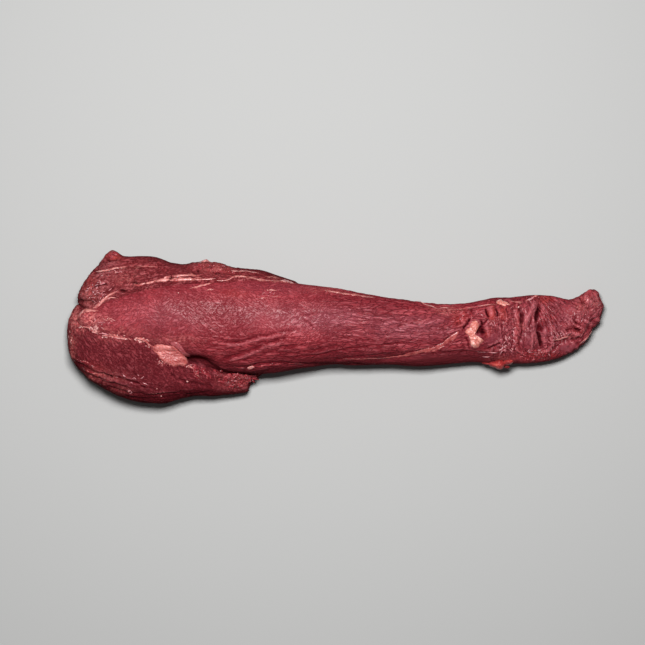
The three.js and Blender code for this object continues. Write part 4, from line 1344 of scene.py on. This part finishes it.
TENDONS = [
    # name, line in plan, half widths along it
    ("thin end", [(8, -31.5), (30, -31.5), (51, -30.5), (64, -29)], (0.3, 0.4, 0.6)),
    ("flat tendon", [(60, -29.6), (71, -28), (84, -24.8), (91, -23), (97, -22), (103, -19.9), (111, -15),
                     (116.7, -11), (121, -7.5), (124, -4)], (0.5, 0.9, 1.5, 1.5, 1.5, 1.4, 1.9, 2.4)),
    ("its edge", [(90, -25.2), (97, -24), (104, -21.8), (110, -18)], (0.4, 0.7, 0.4)),
]
SHRED_FIELDS = [
    # name, middle in plan, half lengths, how many, mean direction in degrees, for the shreds of sinew
    ("blunt point", (-229, 5), (12, 7), 10, -25),
    ("blunt point's blob", (-239, -2), (6, 4), 14, 20),
    ("rim of the wing", (-263, -12), (2.5, 8), 6, 80),
    ("fray of the seam fat", (-169, -34), (7, 3), 12, -110),
    ("ragged end of the wing", (-96, -53), (12, 6), 6, 0),
]
PAINTED_GLINT_FIELDS = [
    # the same, for the painted glints: short pale shreds where the wet meat catches the light
    ("strap's rough end", (-238, 36), (11, 11), 40, 20),
    ("torn meat past the fat", (-135, -43), (8, 3.5), 5, -30),
    ("under the strap's line", (-215, 55.5), (5, 2), 4, -20),
    ("blunt point", (-232, 4), (9, 6), 5, 30),
    ("scratches of the wing", (-205, -49), (15, 6), 8, -28),
    ("wing's tip", (-97, -54), (14, 7), 18, 10),
    ("crown by the strap", (-62, 33), (10, 4), 4, 5),
    ("left of the pocket fat", (127, 6), (3, 6), 4, 65),
    ("over the pocket fat", (144, 11), (4, 3), 4, 80),
    ("beside the pocket", (158, 4), (8, 9), 5, 80),
    ("glossy patch", (171.5, -11), (1.8, 3.5), 6, 75),
    ("patch by the fold line", (178, -6), (2.6, 4), 5, 80),
    ("net before the cleft", (171, -21), (8, 4.5), 14, 50),
    ("fibres before the cleft", (178, -17), (4, 8), 4, 85),
    ("ridge by the cleft", (190.5, 8), (2.4, 6), 6, 65),
    ("top of the ridge", (196, 22), (4, 4), 3, 70),
    ("net at the end of the fan", (226, -8), (8, 4), 10, -30),
    ("ribs of the fan", (218, -1), (5, 5), 4, -55),
    ("round the foot of the cleft", (218.5, -20), (2.4, 8), 7, 60),
    ("below the cleft", (203, -26), (14, 4), 18, -10),
    ("fold of the tip", (238, 9), (5, 3), 4, -20),
    ("middle of the tip", (250, 8), (4, 4), 4, 60),
    ("corner of the tip", (264, 22), (2, 4), 2, 70),
    ("lower side of the tail", (235, -15.5), (4, 2), 4, -20),
]
PAINTED_GLINT_STROKES = [
    # name, line in plan, half widths along it, of pale strokes that are painted glints
    ("patch on the strap's end", [(-233, 42.6), (-230, 43.6), (-227.4, 44)], (0.5, 0.9, 0.5)),
    ("stroke under the strap's line", [(-218.8, 57), (-216.6, 55.6), (-215, 54.4)], (0.4, 0.7, 0.4)),
    ("stroke by the seam", [(-224, 36), (-222, 37.6), (-220.6, 39)], (0.2, 0.5, 0.2)),
    ("spot on the strap's end", [(-237, 38), (-235.6, 39.2), (-235.2, 41)], (0.3, 0.6, 0.3)),
    ("second spot there", [(-246.6, 38), (-245.4, 38.6), (-244, 38)], (0.4, 0.6, 0.4)),
    ("spot in the ring", [(-249, 11.6), (-248, 10.6), (-247, 10.8)], (0.4, 0.7, 0.4)),
    ("upright stroke on the point", [(-237.6, 9.4), (-237.2, 6.8), (-236.4, 4.6)], (0.3, 0.6, 0.3)),
    ("level stroke on the point", [(-236.2, 4), (-231, 5), (-227, 4.4)], (0.2, 0.4, 0.3)),
    ("strokes past the blob", [(-234, -6), (-229, -6.2), (-223, -7.2)], (0.3, 0.6, 0.3)),
    ("curl on the low layer", [(-206, -64), (-203, -63), (-201, -65), (-204, -66.4)], (0.3, 0.6, 0.5, 0.3)),
    ("stroke beside the slant", [(-190, -55), (-186.5, -56.6), (-185, -57.6)], (0.2, 0.5, 0.2)),
    ("glossy patch", [(170.5, -8), (171.5, -11), (172.5, -14)], (0.4, 0.9, 0.4)),
    ("patch by the fold line", [(178, -3), (179, -6), (178.5, -9)], (0.3, 0.7, 0.3)),
    ("upper stroke on the wall", [(143, -24.6), (149, -24.9), (152, -24.8)], (0.2, 0.35, 0.2)),
    ("bright stroke on the wall", [(153, -25), (158, -25.5), (163, -25.6)], (0.3, 0.6, 0.3)),
    ("lower stroke on the wall", [(148, -29.4), (152, -29.7), (156, -29.5)], (0.2, 0.45, 0.2)),
    ("loop of the net", [(171, -22), (167.5, -24), (165, -28)], (0.3, 0.6, 0.3)),
    ("second loop of the net", [(168, -21), (164.5, -23), (163, -26)], (0.2, 0.4, 0.2)),
    ("top of the fan", [(193, 27.6), (197, 28.6), (200.5, 30.2)], (0.4, 0.8, 0.4)),
    ("end of the ribs", [(221, -3), (224, -8), (226.5, -12)], (0.3, 0.5, 0.3)),
    ("crossing the end of the ribs", [(226, -3), (229, -6), (230, -10)], (0.2, 0.4, 0.2)),
]


def thrown(rng, middle, spread, count):
    """Random places, even over an ellipse in plan: an even angle, and the root of an even share outwards."""
    angle, out = rng.uniform(0, 2 * np.pi, count), np.sqrt(rng.uniform(0, 1, count))
    return middle[0] + spread[0] * out * np.cos(angle), middle[1] + spread[1] * out * np.sin(angle)


def short_shreds(rng, middle, spread, count, heading):
    """Short curved lines thrown over an ellipse in plan, within about 40 degrees of the mean direction."""
    start = np.stack(thrown(rng, middle, spread, count), 1)
    first = np.radians(heading) + rng.normal(0, 0.5, count)
    second = first + rng.normal(0, 0.8, count)
    step = rng.uniform(1.0, 2.6, count)[:, None]
    bend = start + step * np.stack([np.cos(first), np.sin(first)], 1)
    end = bend + step * np.stack([np.cos(second), np.sin(second)], 1)
    return np.stack([start, bend, end], axis=1)


def flat_enough(line):
    """Whether the meat under a line differs in height by less than 0.9 of the line's length, as a shred would
    stand up like a hair on a steep wall."""
    return np.ptp(height_at(line[:, 0], line[:, 1])) < 0.9 * np.linalg.norm(line[-1] - line[0])


rng = np.random.default_rng(3)
shreds = [line for _, *field in SHRED_FIELDS for line in short_shreds(rng, *field) if flat_enough(line)]
# Short pale shreds that are painted glints.
glints = [line for _, *field in PAINTED_GLINT_FIELDS for line in short_shreds(rng, *field) if flat_enough(line)]
sinews = closed_mesh("sinew_threads", [
    *(cord(line, halves, 80 + i) for i, (_, line, halves) in enumerate(SINEWS)),
    *(cord(line, (0.2, 0.36, 0.2), 200 + i, turns=8) for i, line in enumerate(shreds)),
])
tendon = closed_mesh("tendon", [
    cord(line, halves, 180 + i, turns=16, proud=0.32) for i, (_, line, halves) in enumerate(TENDONS)
])
# Painted glints, as thin pale cords on the wet places.
painted_glints = closed_mesh("painted_glints", [
    *(cord(line, halves, 300 + i, turns=8) for i, (_, line, halves) in enumerate(PAINTED_GLINT_STROKES)),
    *(cord(line, (0.15, 0.32, 0.15), 400 + i, turns=8) for i, line in enumerate(glints)),
])
sinews.data.materials.append(sinew_finish("wet sinew", screen(156, 63, 64), screen(212, 136, 131), 0.25))
tendon.data.materials.append(sinew_finish("flat tendon", screen(132, 48, 50), screen(170, 80, 78), 0.2))
# The painted glints take the sinew's finish in pale pink.
painted_glints.data.materials.append(
    sinew_finish("painted glints", screen(176, 94, 100), screen(206, 138, 143), 0.4)
)
for piece in (sinews, tendon, painted_glints):
    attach(piece, "root")
    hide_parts("tenderloin")


# Where the knife tore the meat instead of cutting it, crumbs, ridges and ribs of it still hang on: on the
# ragged end of the wing, on the strap's shoulder and rough end, and round the folds of the tail.
CRUMB_FIELDS = [
    # name, middle in plan, half lengths, how many, largest half width
    ("ragged end of the wing", (-98, -54), (17, 7.5), 54, 2.4),
    ("edge of that end", (-82, -50), (6, 4), 14, 2.0),
    ("floor of the crevice", (-120, -46), (20, 4.5), 26, 2.0),
    ("torn meat past the fat", (-135, -42.5), (9, 3.5), 30, 1.5),
    ("below it", (-130, -50), (8, 4), 10, 1.0),
    ("trail of the seam fat", (-143, -38.5), (6, 2.5), 16, 1.6),
    ("blunt point", (-240, 6), (9, 7), 22, 1.3),
    ("strap's knob", (-127, 60), (10, 3), 16, 1.9),
    ("strap's shoulder", (-104, 55), (16, 2.5), 14, 1.6),
    ("strap's rough end", (-237, 34), (9, 11), 24, 1.2),
    ("folds before the cleft", (168, -21), (9, 4), 12, 1.5),
    ("beside the pocket", (158, 6), (8, 10), 6, 1.3),
    ("below the cleft", (203, -28), (14, 5), 56, 1.9),
    ("ragged end of the wall below it", (192, -30), (6, 3), 12, 1.5),
    ("back edge of the tail", (208, 30), (8, 1.2), 10, 1.3),
    ("rim of the wing", (-260, -6), (3, 12), 12, 1.3),
    ("strap's corner", (-221, 72), (5, 2.5), 10, 1.9),
]
TORN_RIDGES = [
    # name, line in plan, half widths along it
    ("ridge under the crevice", [(-142, -38.8), (-137, -41.2), (-131, -42.6), (-126.5, -45.4)],
     (0.4, 0.9, 0.5, 0.8)),
    ("second ridge there", [(-140, -43), (-135, -45), (-130, -46), (-124, -48)], (0.4, 0.7, 0.9, 0.4)),
    ("line below the ridges", [(-141.5, -47), (-137, -49.6), (-131.6, -54.4), (-126, -58)],
     (0.2, 0.5, 0.35, 0.2)),
    ("line on the lip", [(-102, -38.8), (-96, -40.2), (-88, -40.6)], (0.3, 0.5, 0.4)),
    ("ridge on the lip", [(-78, -39.4), (-72, -38.6), (-66, -37.8), (-58, -37), (-50, -36.4)],
     (0.5, 0.9, 0.6, 0.9, 0.4)),
    ("end of that ridge", [(-47, -36.3), (-38, -36.2), (-30, -36.6)], (0.3, 0.5, 0.3)),
    ("upper layer of the wing's rim", [(-262, -31), (-255, -34.8), (-248, -34.2), (-243, -37.2),
                                       (-236, -40.6)], (0.4, 0.9, 0.6, 1.0, 0.4)),
    ("middle layer of the rim", [(-252, -40.4), (-246, -44), (-240, -45.4), (-234, -46.4)],
     (0.4, 0.8, 0.7, 0.4)),
    ("lower layer of the rim", [(-233, -51.2), (-225, -53), (-217, -54.6)], (0.4, 0.9, 0.5)),
    ("lobe of the strap's corner", [(-226, 70.6), (-222, 72.4), (-217, 71.2)], (0.8, 1.4, 0.8)),
    ("second lobe of the corner", [(-224, 74), (-220.5, 75), (-217, 73.4)], (0.6, 1.1, 0.6)),
    ("curl on the shoulder", [(-114, 59.5), (-111, 61), (-108, 59.6)], (0.4, 0.9, 0.4)),
    ("left rim of the bulb by the pocket", [(130.5, 17), (126.6, 14), (125, 9), (127, 3.5)],
     (0.5, 1.1, 1.0, 0.5)),
    ("right rim of that bulb", [(135, 16.5), (137.5, 12), (136.5, 7.5)], (0.5, 1.0, 0.5)),
]
FAN_RIBS = [
    # heading in degrees from the middle of the fan, and the reach at which the rib begins and ends
    (-73, 26, 46), (-69, 22, 52), (-65, 25, 48), (-61, 22, 54), (-56, 26, 50), (-51, 22, 46),
]
STEEPEST = 3.4  # most that the meat may rise and fall within a millimetre of a crumb


def ball(rings, turns):
    """The points of a ball: rings from its top pole down to its foot, in even steps of angle."""
    down = ((np.arange(rings) + 0.5) / rings * np.pi)[:, None]
    round_ = -(np.arange(turns) / turns * 2 * np.pi)
    return np.sin(down) * np.cos(round_), np.sin(down) * np.sin(round_), np.cos(down) + 0 * round_


def lumps_on_meat(rng, middle, spread, count, largest):
    """Crumbs thrown over an ellipse of the meat, each a dented ball stretched to its own size and turned, and
    sunk to its middle halfway between the mean and the lowest height a millimetre round it: all of them at
    once. Those that would lie on a steep wall are left out."""
    at_x, at_y = thrown(rng, middle, spread, count)
    size = largest * rng.uniform(0.4, 1.0, (count, 3)) * rng.uniform(0.5, 1.0, (count, 1))
    turned = rng.uniform(0, np.pi, count)[:, None, None]
    number = np.arange(count)[:, None, None]
    u, v, w = ball(6, 10)
    dent = 1 + 0.5 * grain(u * 1.7 + number * 7, v * 1.7, w * 1.7, 97)
    a, b = u * dent * size[:, 0, None, None] * 1.5, v * dent * size[:, 1, None, None]
    x = at_x[:, None, None] + a * np.cos(turned) - b * np.sin(turned)
    y = at_y[:, None, None] + a * np.sin(turned) + b * np.cos(turned)
    around = [height_at(at_x, at_y), *heights_about(at_x, at_y, 1)]
    seat = 0.5 * (np.min(around, axis=0) + np.mean(around, axis=0))[:, None, None]
    z = seat + size[:, 2, None, None] * (0.65 * w * dent - 0.05)
    return list(np.stack([x, y, z], axis=-1)[np.ptp(around, axis=0) < STEEPEST])


def shred_finish(name, deep, bright, pale, wet, shaded=(0.0, 0.001)):
    """Torn meat, redder and wetter than the skin of the muscle, and here and there a bit of fat. From the
    second of two heights, in metres, down to the first it takes painted shade and loses its gloss."""
    finish, shader, place = new_finish(name)
    blotch = cloud(place, 170, detail=3, rough=0.6)
    height = add(place.id_data, "ShaderNodeSeparateXYZ", {0: place}).outputs["Z"]
    low = ramp(height, shaded[1], shaded[0])
    plug(shader, {
        "Base Color": layered(deep, [
            (ramp(blotch, 0.36, 0.54), bright),
            (ramp(blotch, 0.58, 0.68), pale),
            # painted shade on the lower part
            (ramp(low, 0, 1, 0, 0.9), screen(64, 13, 17)),
        ]),
        "Roughness": 0.45,
        "Specular IOR Level": ramp(low, 0, 1, 0.2, 0.0),
        "Normal": bumped(cloud(place, 600, detail=3), 0.0008),
        "Subsurface Weight": 0.15,
        "Subsurface Radius": (1.0, 0.3, 0.22),
        "Subsurface Scale": 0.0015,
        "Coat Weight": ramp(low, 0, 1, wet, 0.0),
        "Coat Roughness": 0.15,
    })
    return finish


rng = np.random.default_rng(5)
crumb_skins = [skin for _, *field in CRUMB_FIELDS for skin in lumps_on_meat(rng, *field)]
crumb_skins += [cord(line, halves, 90 + i) for i, (_, line, halves) in enumerate(TORN_RIDGES)]
for i, (heading, near, far) in enumerate(FAN_RIBS):  # each runs out from the middle of the fan
    outwards = np.array([np.cos(np.radians(heading)), np.sin(np.radians(heading))])
    rib = [np.array(FAN_CENTRE) + reach * outwards for reach in np.linspace(near, far, 5)]
    crumb_skins.append(cord(rib, (0.4, 0.7, 0.8, 0.6, 0.3), 140 + 2 * i, proud=1.1))
crumbs = closed_mesh("meat_crumbs", crumb_skins)
crumbs.data.materials.append(
    shred_finish("torn meat", screen(98, 21, 28), screen(138, 38, 46), screen(182, 90, 95), 0.3)
)
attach(crumbs, "root")
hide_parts("tenderloin")


# The tag is a small flap of meat that hangs off the side wall near the tail, held by its upper end. The knife
# left it there, and the cut turned it to the front, so that its raw, redder meat shows.
TAG_LOBES = [
    # middle, half lengths, turn in plan in radians, dents
    ((154, -36.4, 20), (6.5, 1.5, 4), -0.12, 0.1),
    ((160.5, -37, 22), (6.0, 3.4, 7), -0.15, 0.1),
    ((165.5, -37, 24), (5.4, 5.4, 8), 0.1, 0.12),
    ((174, -35, 24), (6.2, 3.0, 6.5), 0.3, 0.14),
    ((173, -39.6, 20), (3.6, 2.0, 4), -0.1, 0.14),
]


def lobe(middle, half, turned, dents, seed, rings=20, turns=32):
    """A dented ball, stretched to its half lengths and turned, that stops above the floor."""
    u, v, w = ball(rings, turns)
    swell = 1 + dents * (grain(u * 2, v * 2, w * 2, seed) + 0.6 * grain(u * 4.5, v * 4.5, w * 4.5, seed + 1))
    a, b, c = u * swell * half[0], v * swell * half[1], w * swell * half[2]
    x = middle[0] + a * np.cos(turned) - b * np.sin(turned)
    y = middle[1] + a * np.sin(turned) + b * np.cos(turned)
    return np.stack([x, y, np.maximum(middle[2] + c, 2 * FLOOR_GAP)], axis=-1)


tag = closed_mesh("tag_of_meat", [lobe(*parts, 110 + 2 * i) for i, parts in enumerate(TAG_LOBES)])
# The tag's lower part takes painted shade, from 27 mm down to 18 mm above the floor.
tag.data.materials.append(
    shred_finish("meat of the tag", screen(114, 28, 31), screen(152, 46, 46), screen(190, 84, 76), 0.08,
                 (0.018, 0.027))
)
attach(tag, "root")
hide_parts("tenderloin")


# Flecks of fat dot the meat here and there, each smaller than a peppercorn. Crumbs of it lie along the seams
# and round the seam fat, and a flat bit on the lip over the crevice. They are what trimming left behind.
FLECKS = [
    # place in plan, half width
    (-146, -54, 0.9), (184, 20, 0.9), (202, 31, 0.7), (-131, 25, 0.5), (-217, 54.5, 0.8), (-232, 44, 0.6),
    (-240, -2, 0.9), (-66, 36.6, 0.6), (-122, 37, 0.6), (-154, 34, 0.6), (-204, -64, 0.6), (-172, -68.5, 0.6),
    (-262, -13, 0.8), (178, -22, 0.6), (170, -19, 0.6), (219, -4, 0.5), (-176, -61, 0.5),
]


def fleck(x, y, half, seed):
    """A dented grain seated on the meat at a place in plan, twice as wide as it is tall."""
    seat = height_at(np.array([float(x)]), np.array([float(y)]))[0]
    return lobe((x, y, seat + 0.2 * half), (1.2 * half, 0.9 * half, 0.6 * half), seed * 0.7, 0.2, seed, 7, 10)


LIP_FAT = [
    # outline in plan
    (-87, -40.6), (-84, -38.8), (-80.6, -38.2), (-78.6, -39.6), (-81, -41.2), (-84.6, -42.4),
]
FAT_CRUMB_FIELDS = [
    # name, middle in plan, half lengths, how many, largest half width
    ("on the blunt point", (-239, -1.5), (5, 3.2), 20, 1.4),
    ("beads under the point", (-250.5, 0.3), (4.5, 1.2), 10, 0.8),
    ("beads right of the point", (-225, 8), (4.5, 1.4), 8, 0.7),
    ("seam of wing and fillet", (-218, -10), (14, 2.5), 14, 0.9),
    ("end of that seam", (-191, -12.5), (7, 2.5), 24, 1.2),
    ("line into the fat", (-184, -18), (3, 2.5), 8, 0.8),
    ("frayed edge of the seam fat", (-170, -33), (7, 3), 10, 1.0),
    ("trail of the seam fat", (-142, -39), (5, 1.8), 12, 1.2),
]
fat_crumbs = [skin for _, *field in FAT_CRUMB_FIELDS for skin in lumps_on_meat(rng, *field)]
fat_crumbs.append(cushion(LIP_FAT, 0.9, 2.0, (1.6, 2.4, 20), 67, rows=8, turns=40))
flecks = closed_mesh("fat_flecks", [fleck(*spot, 130 + i) for i, spot in enumerate(FLECKS)] + fat_crumbs)
flecks.data.materials.append(
    fat_finish("fat of the flecks", screen(178, 92, 90), screen(210, 134, 130), screen(230, 168, 164))
)
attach(flecks, "root")
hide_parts("tenderloin")


# A plain pale floor lies under the cut, matt and far larger than the picture. One large soft light hangs over
# the cut, a little behind it, and a weak even sky fills the shadows.
FLOOR_SIZE = 12.0
bpy.ops.mesh.primitive_plane_add(size=FLOOR_SIZE, location=(0, 0, 0))
floor = bpy.context.object
floor.name = "floor"
matt = bpy.data.materials.new("pale floor")
matt.use_nodes = True
plug(matt.node_tree.nodes["Principled BSDF"], {"Base Color": (0.4, 0.4, 0.395, 1), "Roughness": 0.9})
floor.data.materials.append(matt)


def soft_box(name, place, aim, size, power):
    """A rectangular light at a place, turned to face a point."""
    lamp = bpy.data.lights.new(name, "AREA")
    lamp.shape = "RECTANGLE"
    lamp.size, lamp.size_y = size
    lamp.energy = power
    holder = bpy.data.objects.new(name, lamp)
    bpy.context.scene.collection.objects.link(holder)
    holder.location = place
    holder.rotation_euler = (Vector(aim) - Vector(place)).to_track_quat("-Z", "Y").to_euler()
    holder.visible_camera = False


soft_box("main light", (-0.05, 0.36, 1.5), (0, 0, 0), (0.5, 0.34), 36)
sky = bpy.data.worlds.new("sky")
sky.use_nodes = True
plug(sky.node_tree.nodes["Background"], {"Color": (1, 1, 1, 1), "Strength": 0.08})
bpy.context.scene.world = sky
bpy.context.scene.view_settings.view_transform = "Standard"


# The camera looks straight down through a long lens, so that the walls of the cut hardly show. At the level
# of its outline a millimetre of the cut takes one pixel of the frame.
FRAME_MM = 645.0
FRAME_MIDDLE = (-12.0, 5.0)  # where the middle of the picture lies on the cut
CAMERA_HEIGHT = 2.6
OUTLINE_HEIGHT = 0.028  # the level of the widest girth, where the outline is
SENSOR = 36.0  # width of the sensor in millimetres
camera_data = bpy.data.cameras.new("camera")
camera_data.sensor_width = SENSOR
camera_data.lens = SENSOR * (CAMERA_HEIGHT - OUTLINE_HEIGHT) / (FRAME_MM * MM)
camera = bpy.data.objects.new("camera", camera_data)
camera.location = (FRAME_MIDDLE[0] * MM, FRAME_MIDDLE[1] * MM, CAMERA_HEIGHT)
bpy.context.scene.collection.objects.link(camera)
bpy.context.scene.camera = camera
